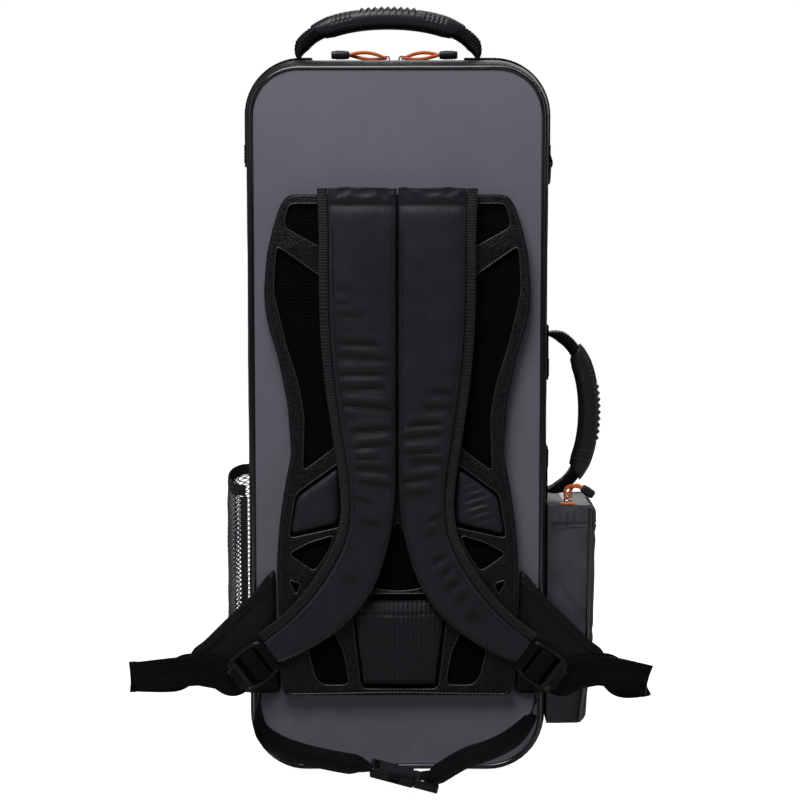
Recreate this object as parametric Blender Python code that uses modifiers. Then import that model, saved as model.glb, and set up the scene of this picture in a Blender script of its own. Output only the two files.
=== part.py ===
"""Alto saxophone case with a backpack harness, standing upright.

Metres. +Z is up, the harness faces -Y and +X is on the right of someone who looks at the harness.
The origin lies on the flat bottom of the base half.
"""
import math

import bmesh
import bpy
from mathutils import Matrix, Vector

# Case
CASE_WIDTH = 0.275
CASE_HEIGHT = 0.655
BASE_DEPTH = 0.105
LID_DEPTH = 0.070
LID_EDGE_ROUND = 0.035
SEAM_Y = 0.035
TOP_CORNER = 0.050
BOTTOM_CORNER = 0.055
WALL = 0.003
SIDE_INSET = 0.0085
END_INSET = 0.016
EDGE_ROUND = 0.040
SEAM_RIM = 0.0025
GAP = 0.0003
FLAT = 0.0001

# Panels and their piping
PANEL_THICKNESS = 0.002
PIPING_RADIUS = 0.0018

# Zip round the seam
ZIP_WIDTH = 0.0025
ZIP_RECESS = 0.0005
HINGE_MARGIN = 0.060

# Fabric hinge on the left side
HINGE_TAPE = 0.0012
HINGE_BEAD = 0.0011
HINGE_TAPE_WIDTH = 0.020

# Foam
FOAM_CLEARANCE = 0.0006
FOAM_FACE_DROP = 0.002
BELL_FLOOR = 0.012
BODY_FLOOR = 0.030
BOW_FLOOR = 0.016
NECK_FLOOR = 0.045
MOUTHPIECE_FLOOR = 0.055
LID_BELL_FLOOR = 0.014
LID_BODY_FLOOR = 0.034
TUBE_TOP = 0.600
TUBE_X = -0.078
TUBE_RADIUS_TOP = 0.024
TUBE_RADIUS_BOTTOM = 0.036
BELL_X = 0.048
BELL_Z = 0.330
BELL_RADIUS = 0.066
BOW_Z = 0.100
BOW_RADIUS = 0.068
BOW_BRIDGE_RADIUS = 0.058
BOW_BRIDGE_WIDTH = 0.040
NECK_X = 0.062
NECK_Z = 0.520
NECK_LENGTH = 0.150
NECK_WIDTH = 0.066
MOUTHPIECE_X = 0.008
MOUTHPIECE_WIDTH = 0.032
MOUTHPIECE_LENGTH = 0.110

# Zip sliders and pulls
SLIDER_LENGTH = 0.012
SLIDER_WIDTH = 0.008
SLIDER_HEIGHT = 0.003
SLIDER_APART = 0.016
SLIDER_MIDDLE = -0.003
BAIL_LENGTH = 0.0085
BAIL_WIDTH = 0.0018
BAIL_HEIGHT = 0.0055
BAIL_BAR = 0.0014
CORD_RADIUS = 0.0011
PULL_CORD_LENGTH = 0.034
PULL_GRIP_LENGTH = 0.017
PULL_GRIP_WIDTH = 0.0095
POCKET_CORD_LENGTH = 0.016
POCKET_GRIP_LENGTH = 0.013
POCKET_GRIP_TILT = math.radians(33.7)
PULL_GRIP_THICKNESS = 0.006

# Handles
HANDLE_WEB_WIDTH = 0.022
HANDLE_WEB_THICKNESS = 0.0034
HANDLE_TAIL_THICKNESS = 0.010
HANDLE_TAIL_TAPER = 0.004
HANDLE_CORE_WIDTH = 0.018
GRIP_WIDTH = 0.026
GRIP_THICKNESS = 0.018
GRIP_RIB = 0.0012
RIB_COUNT = 9
RIB_PITCH = 0.0057
TOP_HANDLE_X = -0.0085
TOP_HANDLE_SPAN = 0.164
TOP_HANDLE_RISE = 0.0443
TOP_GRIP_LENGTH = 0.132
SIDE_HANDLE_Z = 0.3315
SIDE_HANDLE_SPAN = 0.146
SIDE_HANDLE_RISE = 0.0470
SIDE_GRIP_LENGTH = 0.118
ANCHOR_WIDTH = 0.025
ANCHOR_THICKNESS = 0.002
TOP_ANCHOR_DROP = 0.097
SIDE_ANCHOR_LENGTH = 0.050

# Side pocket, on the right
POCKET_BOTTOM = 0.046
POCKET_HEIGHT = 0.204
POCKET_DEPTH = 0.086
POCKET_REACH = 0.0455
POCKET_FOOT_REACH = 0.037
POCKET_KNEE_SHARE = 0.35
POCKET_KNEE_TAPER_SHARE = 0.25
POCKET_BACK_MARGIN = 0.010
POCKET_WALL = 0.002
POCKET_ROUND = 0.007
POCKET_SLOT = 0.009
POCKET_SLOT_X = 0.0195
POCKET_SLOT_MARGIN = 0.008
GARAGE_LENGTH = 0.010
GARAGE_WIDTH = 0.015

# Bottle pocket, on the left
NET_BOTTOM = 0.085
NET_HEIGHT = 0.195
NET_REACH = 0.0185
NET_BACK_MARGIN = 0.012
NET_DEPTH = 0.056
NET_STRAND = 0.0014
NET_ROWS = 11
NET_COLUMNS = 10
NET_BINDING = 0.010
NET_BINDING_THICKNESS = 0.0018
NET_DIP = 0.012

# Rings and tabs
TAB_WIDTH = 0.020
TAB_THICKNESS = 0.0016
RING_DROP = 0.082
RING_SEAM_MARGIN = 0.0225
RING_WIRE = 0.0015
RING_WIDTH = 0.030
RING_HEIGHT = 0.020
TAB_HEIGHT = 0.014
LOWER_TAB_Z = 0.161
LOWER_TAB_HEIGHT = 0.012
LOWER_TAB_REACH = 0.007

# Harness pad
PAD_SIDE_MARGIN = 0.0050
PAD_TOP_MARGIN = 0.107
PAD_BOTTOM_MARGIN = 0.058
PAD_THICKNESS = 0.008
BORDER_THICKNESS = 0.0025
HIP_PAD_THICKNESS = 0.005
LUMBAR_SIDE_CLEARANCE = 0.0026
LUMBAR_END_CLEARANCE = 0.0036
LUMBAR_THICKNESS = 0.008
LUMBAR_CHANNELS = 6
LUMBAR_CHANNEL_DEPTH = 0.0012

# Shoulder straps
STRAP_THICKNESS = 0.013
STRAP_WRINKLE = 0.0006
BINDING_WIDTH = 0.009
BINDING_THICKNESS = 0.0022

# Webbing, ladder locks and wings
WEBBING_WIDTH = 0.028
WEBBING_THICKNESS = 0.0014
LOCK_LENGTH = 0.038
LOCK_WIDTH = 0.036
LOCK_THICKNESS = 0.0035
LOCK_SIDE = 0.003
LOCK_BAR = 0.005
LOCK_SLOT = 0.0095
LOCK_TURN = math.radians(37)
LOCK_ROUND = 0.001
WING_BACK_CLEARANCE = 0.0010
WING_THICKNESS = 0.006
FOLD_RADIUS = 0.0042
LEFT_LOOP_REACH = 0.0513
RIGHT_LOOP_REACH = 0.0363

# Waist belt and its buckle
BELT_WIDTH = 0.025
BUCKLE_WIDTH = 0.034
BUCKLE_THICKNESS = 0.009
SOCKET_LENGTH = 0.040
PLUG_LENGTH = 0.022
PRONG_LENGTH = 0.023
PRONG_WIDTH = 0.0050
PRONG_THICKNESS = 0.0040
BUCKLE_SHELL = 0.002
BUCKLE_TILT = math.radians(15)
BUCKLE_X = 0.006
BUCKLE_REACH = 0.052
BUCKLE_Z = 0.0137
BUCKLE_ROUND = 0.0015
BUCKLE_SLOT = 0.004
BUCKLE_BAR = 0.003
BELT_LEAD = 0.008
BELT_ROOT = 0.004
CUT_OVERRUN = 0.005

# Finishes: colour, roughness, metallic
GREY_NYLON = ((0.130, 0.128, 0.132), 0.62, 0.0)
BLACK_NYLON = ((0.022, 0.021, 0.026), 0.68, 0.0)
NAVY_NYLON = ((0.022, 0.023, 0.033), 0.50, 0.0)
BLACK_WEBBING = ((0.016, 0.015, 0.018), 0.75, 0.0)
MESH_BLACK = ((0.004, 0.004, 0.004), 0.90, 0.0)
PIPING_BLACK = ((0.012, 0.012, 0.013), 0.35, 0.0)
PLUSH = ((0.030, 0.030, 0.034), 0.95, 0.0)
RUBBER = ((0.040, 0.040, 0.044), 0.55, 0.0)
BUCKLE_PLASTIC = ((0.030, 0.030, 0.032), 0.42, 0.0)
ORANGE_CORD = ((0.870, 0.200, 0.020), 0.60, 0.0)
ZIP_METAL = ((0.620, 0.630, 0.650), 0.28, 1.0)
BLACK_METAL = ((0.030, 0.030, 0.032), 0.35, 0.8)

X_AXIS = Vector((1, 0, 0))
Y_AXIS = Vector((0, 1, 0))
Z_AXIS = Vector((0, 0, 1))
ROUND_ANGLE = math.radians(35)
SOFT_ANGLE = math.radians(60)

# Planes in depth, from the case's back outwards
BACK_Y = SEAM_Y - BASE_DEPTH
HANDLE_Y = (BACK_Y + SEAM_Y) / 2
POCKET_BACK_Y = BACK_Y + POCKET_BACK_MARGIN
NET_BACK_Y = BACK_Y + NET_BACK_MARGIN
RING_Y = SEAM_Y - RING_SEAM_MARGIN
BUCKLE_Y = BACK_Y - BUCKLE_REACH
PANEL_BACK_Y = BACK_Y - GAP
PANEL_FRONT_Y = PANEL_BACK_Y - PANEL_THICKNESS
PIPING_Y = BACK_Y - GAP - PIPING_RADIUS
PAD_BACK_Y = PANEL_FRONT_Y - GAP
PAD_FRONT_Y = PAD_BACK_Y - PAD_THICKNESS
BORDER_BACK_Y = PAD_FRONT_Y - GAP
BORDER_FRONT_Y = BORDER_BACK_Y - BORDER_THICKNESS
STRAP_BACK_Y = BORDER_FRONT_Y - GAP
WING_BACK_Y = PIPING_Y - PIPING_RADIUS - WING_BACK_CLEARANCE
WING_FRONT_Y = WING_BACK_Y - WING_THICKNESS
TAIL_Y = WING_FRONT_Y - GAP - WEBBING_THICKNESS / 2
RUN_Y = TAIL_Y - GAP - WEBBING_THICKNESS
LOCK_Y = RUN_Y - GAP - WEBBING_THICKNESS / 2 - LOCK_THICKNESS / 2

POCKET_KNEE_Z = POCKET_BOTTOM + POCKET_HEIGHT * POCKET_KNEE_SHARE

# The panels and the harness pad on the back panel
PANEL_WIDTH = CASE_WIDTH - 2 * SIDE_INSET - 4 * PIPING_RADIUS - 4 * GAP
PANEL_HEIGHT = CASE_HEIGHT - 2 * END_INSET - 4 * PIPING_RADIUS - 4 * GAP
PANEL_BOTTOM = END_INSET + 2 * PIPING_RADIUS + 2 * GAP
PAD_HALF = PANEL_WIDTH / 2 - PAD_SIDE_MARGIN
PAD_BOTTOM = PANEL_BOTTOM + PAD_BOTTOM_MARGIN
PAD_HEIGHT = PANEL_HEIGHT - PAD_TOP_MARGIN - PAD_BOTTOM_MARGIN

# Half the harness pad's outline, from the top to the bottom, as shares of PAD_HALF and PAD_HEIGHT
PAD_OUTLINE_SHARES = (
    (0.770, 1.000), (0.826, 0.996), (0.876, 0.978), (0.930, 0.935), (0.977, 0.882), (0.998, 0.813),
    (0.990, 0.770), (0.950, 0.725), (0.900, 0.685), (0.826, 0.587), (0.800, 0.487), (0.847, 0.429),
    (0.893, 0.349), (0.914, 0.271), (0.910, 0.235), (0.900, 0.110), (0.870, 0.000),
)
# Windows of the border on one half, as the same shares with the outer side positive
UPPER_WINDOW_SHARES = ((0.806, 0.981), (0.560, 0.981), (0.560, 0.895), (0.843, 0.937))
SIDE_WINDOW_SHARES = (
    (0.895, 0.898), (0.560, 0.836), (0.470, 0.502), (0.717, 0.454), (0.702, 0.563),
    (0.739, 0.624), (0.836, 0.711), (0.895, 0.773), (0.925, 0.810), (0.910, 0.880),
)
HIP_WINDOW_SHARES = ((0.457, 0.468), (0.430, 0.343), (0.822, 0.319), (0.766, 0.407))
HIP_PAD_SHARES = ((0.480, 0.453), (0.460, 0.353), (0.785, 0.332), (0.745, 0.396))
OUTER_WINDOW_SHARES = ((0.821, 0.288), (0.672, 0.308), (0.479, 0.325), (0.524, 0.294), (0.628, 0.252))
SLIVER_WINDOW_SHARES = ((0.821, 0.234), (0.739, 0.226), (0.769, 0.205))
MIDDLE_WINDOW_SHARES = ((0.000, 0.355), (0.234, 0.224), (-0.234, 0.224))
LOWER_WINDOW_SHARES = (
    (0.680, 0.096), (0.487, 0.133), (0.412, 0.086), (0.370, 0.022), (0.568, 0.022), (0.620, 0.036),
)
LUMBAR_FRAME_SHARES = ((-0.360, 0.206), (0.393, 0.206), (0.310, 0.014), (-0.275, 0.014))

# Edges of the left shoulder strap, outer and inner, paired from the top to its lower end
STRAP_OUTER_SHARES = (
    (0.505, 1.000), (0.508, 0.930), (0.508, 0.850), (0.500, 0.740), (0.470, 0.640), (0.430, 0.560),
    (0.390, 0.490), (0.360, 0.430), (0.352, 0.375), (0.380, 0.325), (0.450, 0.280), (0.550, 0.235),
    (0.680, 0.190), (0.820, 0.152), (0.930, 0.128), (1.015, 0.1103),
)
STRAP_INNER_SHARES = (
    (0.010, 1.000), (0.010, 0.930), (0.010, 0.850), (0.010, 0.740), (0.010, 0.640), (0.010, 0.560),
    (0.010, 0.490), (0.012, 0.420), (0.035, 0.355), (0.075, 0.300), (0.140, 0.245), (0.240, 0.195),
    (0.380, 0.150), (0.550, 0.115), (0.740, 0.086), (0.895, 0.0676),
)
STRAP_THICKNESS_SHARES = (
    0.72, 0.95, 1.00, 0.98, 1.00, 0.97, 1.00, 0.98, 1.00, 0.98, 0.96, 0.92, 0.82, 0.68, 0.52, 0.46,
)

# Left wing, outer side positive, as shares of PAD_HALF and PAD_HEIGHT, from its root upwards and round
WING_ROOT_SHARES = ((0.885, 0.000), (0.915, 0.110), (0.930, 0.235))
WING_EDGE_SHARES = (
    (1.080, 0.205), (1.300, 0.152), (1.480, 0.105), (1.590, 0.080), (1.600, 0.050), (1.580, 0.018),
    (1.300, 0.004), (1.050, 0.000),
)

# Side views of the pads: shares of the thickness and of the outline's size at that height
CUSHION_LEVEL_SHARES = ((0.0, 0.95), (0.20, 0.99), (0.50, 1.0), (0.78, 0.95), (0.93, 0.82), (1.0, 0.50))
WING_LEVEL_SHARES = ((0.0, 0.985), (0.25, 1.0), (0.75, 1.0), (1.0, 0.96))
# The lumbar pad's side view: shares of its height and of its thickness
LUMBAR_PROFILE_SHARES = (
    (0.0, 0.0), (0.0, 0.6), (0.08, 0.9), (0.50, 1.0), (0.80, 0.90), (0.93, 0.45), (1.0, 0.25), (1.0, 0.0),
)
LUMBAR_END_SHARE = 0.25
LUMBAR_END_POWER = 0.6
STRAP_TURN_SHARE = 0.6

# Moulded grips: shares of the plain end's length and of the grip's section
GRIP_END_SHARES = ((0.0, 0.74), (0.13, 0.92), (0.5, 1.0), (0.9, 0.97))
HANDLE_TAIL_SHARES = (0.18, 0.5, 1.0)
PULL_TWIST_SHARE = 0.3
PULL_GRIP_SHARES = ((0.0, 0.72), (0.12, 1.0), (0.88, 1.0), (1.0, 0.70))

# The net is drawn in at its foot and bows out between its sewn edges
NET_FOOT_SHARE = 0.12
NET_KNEE_SHARE = 0.20
NET_BOW_POWER = 0.45
# The pocket pull's middle line, outwards and upwards, as shares of its cord's length
POCKET_CORD_SHARES = ((0.0, 0.34), (0.13, 0.56), (0.46, 0.66), (0.80, 0.55))

# The lock tab's fold round its bar, along and out, as shares of the bar's half length and rise
LOCK_TAB_SHARES = ((0.0, 1.0), (0.8, 1.0), (1.04, 0.6), (1.04, -0.6), (0.8, -1.0), (0.0, -1.0))
# The adjusting webbing turns upright on its way to the wing's tip
WEBBING_DIP_SHARE = 0.85
WEBBING_BEND_SHARE = 0.4
# Waist belts from wing to buckle: shares of the way across, of the reach in depth and of the drop
LEFT_BELT_SHARES = (
    (-0.010, 0.06, 0.27), (0.03, 0.20, 0.54), (0.17, 0.40, 0.74), (0.40, 0.62, 0.86), (0.66, 0.80, 0.94),
    (0.87, 0.93, 0.985),
)
RIGHT_BELT_SHARES = (
    (0.07, 0.20, 0.30), (0.24, 0.42, 0.53), (0.45, 0.60, 0.66), (0.68, 0.78, 0.75), (0.90, 0.95, 0.91),
)


def clear_scene():
    for thing in list(bpy.data.objects):
        bpy.data.objects.remove(thing, do_unlink=True)
    for mesh in list(bpy.data.meshes):
        bpy.data.meshes.remove(mesh)


def collection(name):
    made = bpy.data.collections.new(name)
    bpy.context.scene.collection.children.link(made)
    return made


clear_scene()
PARTS = collection("alto_saxophone_case")
CUTTERS = collection("cutters")
MATERIALS = {}


def material(name, finish):
    """A plain Principled material, made once for each name."""
    if name not in MATERIALS:
        colour, roughness, metallic = finish
        made = bpy.data.materials.new(name)
        made.use_nodes = True
        shader = made.node_tree.nodes["Principled BSDF"]
        shader.inputs["Base Color"].default_value = (*colour, 1.0)
        shader.inputs["Roughness"].default_value = roughness
        shader.inputs["Metallic"].default_value = metallic
        made.diffuse_color = (*colour, 1.0)
        MATERIALS[name] = made
    return MATERIALS[name]


def add_mesh(name, mesh, finish_name, finish):
    """Links a mesh as the part's object of that name."""
    mesh.materials.clear()
    mesh.materials.append(material(finish_name, finish))
    made = bpy.data.objects.new(name, mesh)
    PARTS.objects.link(made)
    return made


def add_cutter(name, mesh):
    made = bpy.data.objects.new(name, mesh)
    CUTTERS.objects.link(made)
    made.hide_render = True
    made.display_type = "WIRE"
    return made


def cut(target, cutter):
    """Takes the cutter out of the target with an exact Boolean."""
    step = target.modifiers.new("cut_" + cutter.name, "BOOLEAN")
    step.operation = "DIFFERENCE"
    step.solver = "EXACT"
    step.object = cutter


def smooth(thing, angle=ROUND_ANGLE):
    thing.data.shade_smooth()
    thing.data.set_sharp_from_angle(angle=angle)


def set_origin(thing, point):
    """Moves the object's origin to a point of the world without moving its shape."""
    thing.data.transform(Matrix.Translation(-Vector(point)))
    thing.location = point


def bevel(thing, width, segments=2, angle=math.radians(50)):
    step = thing.modifiers.new("rounded_edges", "BEVEL")
    step.width = width
    step.segments = segments
    step.limit_method = "ANGLE"
    step.angle_limit = angle
    return step


def loft(rings, closed=False):
    """A mesh through rings of equal counts: capped at both ends, or closed round like a tyre."""
    shape = bmesh.new()
    rows = [[shape.verts.new(point) for point in ring] for ring in rings]
    count = len(rows[0])
    pairs = list(zip(rows, rows[1:]))
    if closed:
        pairs.append((rows[-1], rows[0]))
    for low, high in pairs:
        for i in range(count):
            j = (i + 1) % count
            shape.faces.new((low[i], low[j], high[j], high[i]))
    if not closed:
        shape.faces.new(rows[0])
        shape.faces.new(rows[-1])
    bmesh.ops.recalc_face_normals(shape, faces=shape.faces)
    mesh = bpy.data.meshes.new("loft")
    shape.to_mesh(mesh)
    shape.free()
    return mesh


def box_mesh(size, centre=(0, 0, 0), turn=None):
    """A box of the given side lengths, turned about its centre."""
    shape = bmesh.new()
    bmesh.ops.create_cube(shape, size=1.0)
    bmesh.ops.scale(shape, vec=size, verts=shape.verts)
    if turn is not None:
        bmesh.ops.transform(shape, matrix=turn, verts=shape.verts)
    bmesh.ops.translate(shape, vec=centre, verts=shape.verts)
    bmesh.ops.recalc_face_normals(shape, faces=shape.faces)
    mesh = bpy.data.meshes.new("box")
    shape.to_mesh(mesh)
    shape.free()
    return mesh


def mesh_of_curve(thing):
    """The curve's evaluated mesh in world places, with its caps welded; the curve is removed."""
    depsgraph = bpy.context.evaluated_depsgraph_get()
    mesh = bpy.data.meshes.new_from_object(thing.evaluated_get(depsgraph))
    mesh.transform(thing.matrix_world)
    shape = bmesh.new()
    shape.from_mesh(mesh)
    bmesh.ops.remove_doubles(shape, verts=shape.verts, dist=FLAT / 10)
    bmesh.ops.recalc_face_normals(shape, faces=shape.faces)
    shape.to_mesh(mesh)
    shape.free()
    bpy.data.objects.remove(thing, do_unlink=True)
    return mesh


def plate_mesh(outlines, front_y, thickness):
    """A flat plate in X and Z: the first outline is its edge and the others are holes."""
    curve = bpy.data.curves.new("outline", "CURVE")
    curve.dimensions = "2D"
    curve.fill_mode = "BOTH"
    curve.extrude = thickness / 2
    for outline in outlines:
        spline = curve.splines.new("POLY")
        spline.points.add(len(outline) - 1)
        for point, (x, z) in zip(spline.points, outline):
            point.co = (x, z, 0, 1)
        spline.use_cyclic_u = True
    thing = bpy.data.objects.new("outline", curve)
    CUTTERS.objects.link(thing)
    thing.rotation_euler = (math.pi / 2, 0, 0)
    thing.location = (0, front_y + thickness / 2, 0)
    bpy.context.view_layer.update()
    return mesh_of_curve(thing)


def tube_mesh(points, radius, cyclic=False, resolution=1):
    """A round tube along the points, with filled ends."""
    curve = bpy.data.curves.new("tube", "CURVE")
    curve.dimensions = "3D"
    curve.bevel_depth = radius
    curve.bevel_resolution = resolution
    curve.use_fill_caps = not cyclic
    spline = curve.splines.new("POLY")
    spline.points.add(len(points) - 1)
    for place, point in zip(spline.points, points):
        place.co = (*point, 1)
    spline.use_cyclic_u = cyclic
    thing = bpy.data.objects.new("tube", curve)
    CUTTERS.objects.link(thing)
    bpy.context.view_layer.update()
    return mesh_of_curve(thing)


def smooth_path(points, steps):
    """Points on a smooth curve through the given ones, with even steps between each pair."""
    places = [Vector(p) for p in points]
    places = [2 * places[0] - places[1]] + places + [2 * places[-1] - places[-2]]
    path = []
    for before, start, end, after in zip(places, places[1:], places[2:], places[3:]):
        for i in range(steps):
            t = i / steps
            path.append(
                0.5 * (2 * start + (end - before) * t
                       + (2 * before - 5 * start + 4 * end - after) * t * t
                       + (3 * start - before - 3 * end + after) * t * t * t)
            )
    path.append(places[-2])
    return path


def tangents(path):
    last = len(path) - 1
    return [(path[min(i + 1, last)] - path[max(i - 1, 0)]).normalized() for i in range(last + 1)]


def oval(centre, across, out, half_width, half_height, sides=12, power=2.6):
    """A rounded ring about a centre: half_width along across, half_height along out."""
    ring = []
    for i in range(sides):
        angle = 2 * math.pi * (i + 0.5) / sides
        c, s = math.cos(angle), math.sin(angle)
        x = math.copysign(abs(c) ** (2 / power), c) * half_width
        y = math.copysign(abs(s) ** (2 / power), s) * half_height
        ring.append(centre + across * x + out * y)
    return ring


def strip_ring(centre, across, out, width, thickness):
    """The four corners of a webbing's section."""
    a = across * (width / 2)
    b = out * (thickness / 2)
    return [centre - a - b, centre + a - b, centre + a + b, centre - a + b]


def webbing_mesh(path, acrosses, width, thickness):
    """A flat strip along a path; acrosses gives its width's direction at each point."""
    rings = []
    for point, along, across in zip(path, tangents(path), acrosses):
        side = (across - along * across.dot(along)).normalized()
        rings.append(strip_ring(point, side, side.cross(along), width, thickness))
    return loft(rings)


def case_outline(side_inset, end_inset, steps=6, trim=0.0):
    """The case's rounded outline in X and Z, anticlockwise from the lower right corner."""
    half = CASE_WIDTH / 2 - side_inset
    bottom = end_inset
    top = CASE_HEIGHT - end_inset
    outline = []
    corners = (
        (half, bottom, 1, 1, BOTTOM_CORNER, -90),
        (half, top, 1, -1, TOP_CORNER, 0),
        (-half, top, -1, -1, TOP_CORNER, 90),
        (-half, bottom, -1, 1, BOTTOM_CORNER, 180),
    )
    for x, z, side, rise, corner, start in corners:
        radius = corner - (side_inset + end_inset) / 2 - trim
        centre_x = x - side * radius
        centre_z = z + rise * radius
        for i in range(steps + 1):
            angle = math.radians(start + 90 * i / steps)
            outline.append((centre_x + radius * math.cos(angle), centre_z + radius * math.sin(angle)))
    return outline


def ring_at(outline, y):
    return [Vector((x, y, z)) for x, z in outline]


def shell_rings(rim_y, flat_y, back_y):
    """Rings of one half of the case, from the middle of its back to its rim and back inside."""
    steps = 4
    outer = []
    for i in range(steps + 1):
        angle = math.pi / 2 * i / steps
        share = 1 - math.cos(angle)
        y = flat_y + (back_y - flat_y) * math.sin(angle)
        outer.append(ring_at(case_outline(SIDE_INSET * share, END_INSET * share), y))
    outer.reverse()
    outer.append(ring_at(case_outline(0, 0), rim_y))
    toward_back = math.copysign(1, back_y - rim_y)
    inner_back = back_y - toward_back * WALL
    inner = [ring_at(case_outline(WALL, WALL), rim_y), ring_at(case_outline(WALL, WALL), flat_y)]
    inner.append(ring_at(case_outline(WALL + SIDE_INSET, WALL + END_INSET), inner_back))
    return outer + inner


def half_shell(name, rim_y, flat_y, back_y):
    shell = add_mesh(name, loft(shell_rings(rim_y, flat_y, back_y)), "black_nylon", BLACK_NYLON)
    smooth(shell)
    return shell


def panel_outline(margin, steps=6):
    return case_outline(SIDE_INSET + margin, END_INSET + margin, steps)


def make_shells():
    half_shell("base_shell", SEAM_Y - SEAM_RIM, BACK_Y + EDGE_ROUND, BACK_Y)
    front_y = SEAM_Y + LID_DEPTH
    half_shell("lid_shell", SEAM_Y + SEAM_RIM, front_y - LID_EDGE_ROUND, front_y)


def make_panels():
    margin = 2 * PIPING_RADIUS + 2 * GAP
    front_y = SEAM_Y + LID_DEPTH
    for name, y in (("back_panel", PANEL_FRONT_Y), ("lid_panel", front_y + GAP)):
        mesh = plate_mesh([panel_outline(margin)], y, PANEL_THICKNESS)
        add_mesh(name, mesh, "grey_nylon", GREY_NYLON)
    piping_margin = PIPING_RADIUS + GAP
    places = (("back_piping", PIPING_Y), ("lid_piping", front_y + GAP + PIPING_RADIUS))
    for name, y in places:
        path = ring_at(panel_outline(piping_margin), y)
        piping = add_mesh(name, tube_mesh(path, PIPING_RADIUS, cyclic=True), "piping", PIPING_BLACK)
        smooth(piping)


def seam_path(inset):
    """The outline from low on the left side round the bottom, right side and top to high on the left."""
    outline = case_outline(inset, inset)
    low = (outline[-1][0], HINGE_MARGIN + BOTTOM_CORNER)
    high = (outline[-1][0], CASE_HEIGHT - HINGE_MARGIN - TOP_CORNER)
    corner = len(outline) // 4
    return [low] + outline[3 * corner:] + outline[:3 * corner] + [high]


def make_zips():
    """Each half of the zip is a flat band on its shell's rim, on all sides but the hinge."""
    inset = ZIP_RECESS + ZIP_WIDTH / 2
    depth = SEAM_RIM - GAP - GAP / 2
    for name, side in (("base_zip", -1), ("lid_zip", 1)):
        y = SEAM_Y + side * (GAP / 2 + depth / 2)
        path = [Vector((x, y, z)) for x, z in seam_path(inset)]
        mesh = webbing_mesh(path, [Y_AXIS] * len(path), depth, ZIP_WIDTH)
        add_mesh(name, mesh, "zip_tape", BLACK_WEBBING)


def make_hinge():
    """Tape on both halves and a sewn bead between them, on the hinge's axis."""
    side_x = -CASE_WIDTH / 2 - GAP
    low = HINGE_MARGIN + BOTTOM_CORNER + GAP
    high = CASE_HEIGHT - HINGE_MARGIN - TOP_CORNER - GAP
    length = high - low
    middle = (low + high) / 2
    bead_x = side_x - HINGE_BEAD
    start = HINGE_BEAD + GAP
    tape = HINGE_TAPE_WIDTH - start
    for name, side in (("base_hinge_tape", -1), ("lid_hinge_tape", 1)):
        centre = (side_x - HINGE_TAPE / 2, SEAM_Y + side * (start + tape / 2), middle)
        add_mesh(name, box_mesh((HINGE_TAPE, tape, length), centre), "webbing", BLACK_WEBBING)
    ends = [Vector((bead_x, SEAM_Y, low)), Vector((bead_x, SEAM_Y, high))]
    bead = add_mesh("hinge_bead", tube_mesh(ends, HINGE_BEAD, resolution=2), "webbing", BLACK_WEBBING)
    smooth(bead)


def capsule_outline(x, z_low, radius_low, z_high, radius_high, steps=8):
    """A tapered lane with round ends, in X and Z."""
    outline = []
    for i in range(steps + 1):
        angle = math.pi * i / steps
        outline.append((x + radius_high * math.cos(angle), z_high + radius_high * math.sin(angle)))
    for i in range(steps + 1):
        angle = math.pi + math.pi * i / steps
        outline.append((x + radius_low * math.cos(angle), z_low + radius_low * math.sin(angle)))
    return outline


def foam_hollows():
    """Outlines of the hollows: the body's lane, the bell with the bow, the neck and the mouthpiece."""
    lane = capsule_outline(TUBE_X, BOW_Z, TUBE_RADIUS_BOTTOM, TUBE_TOP - TUBE_RADIUS_TOP, TUBE_RADIUS_TOP)
    bell = capsule_outline(BELL_X, BOW_Z, BOW_RADIUS, BELL_Z, BELL_RADIUS)
    bow_x = (TUBE_X + BELL_X) / 2
    bow = capsule_outline(bow_x, BOW_Z, BOW_BRIDGE_RADIUS, BOW_Z + BOW_BRIDGE_WIDTH, BOW_BRIDGE_RADIUS)
    half = NECK_WIDTH / 2
    low = NECK_Z - NECK_LENGTH / 2 + half
    high = NECK_Z + NECK_LENGTH / 2 - half
    neck = capsule_outline(NECK_X, low, half, high, half)
    half = MOUTHPIECE_WIDTH / 2
    low = NECK_Z - MOUTHPIECE_LENGTH / 2 + half
    high = NECK_Z + MOUTHPIECE_LENGTH / 2 - half
    mouthpiece = capsule_outline(MOUTHPIECE_X, low, half, high, half)
    return {"body": lane, "bell": bell, "bow": bow, "neck": neck, "mouthpiece": mouthpiece}


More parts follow.
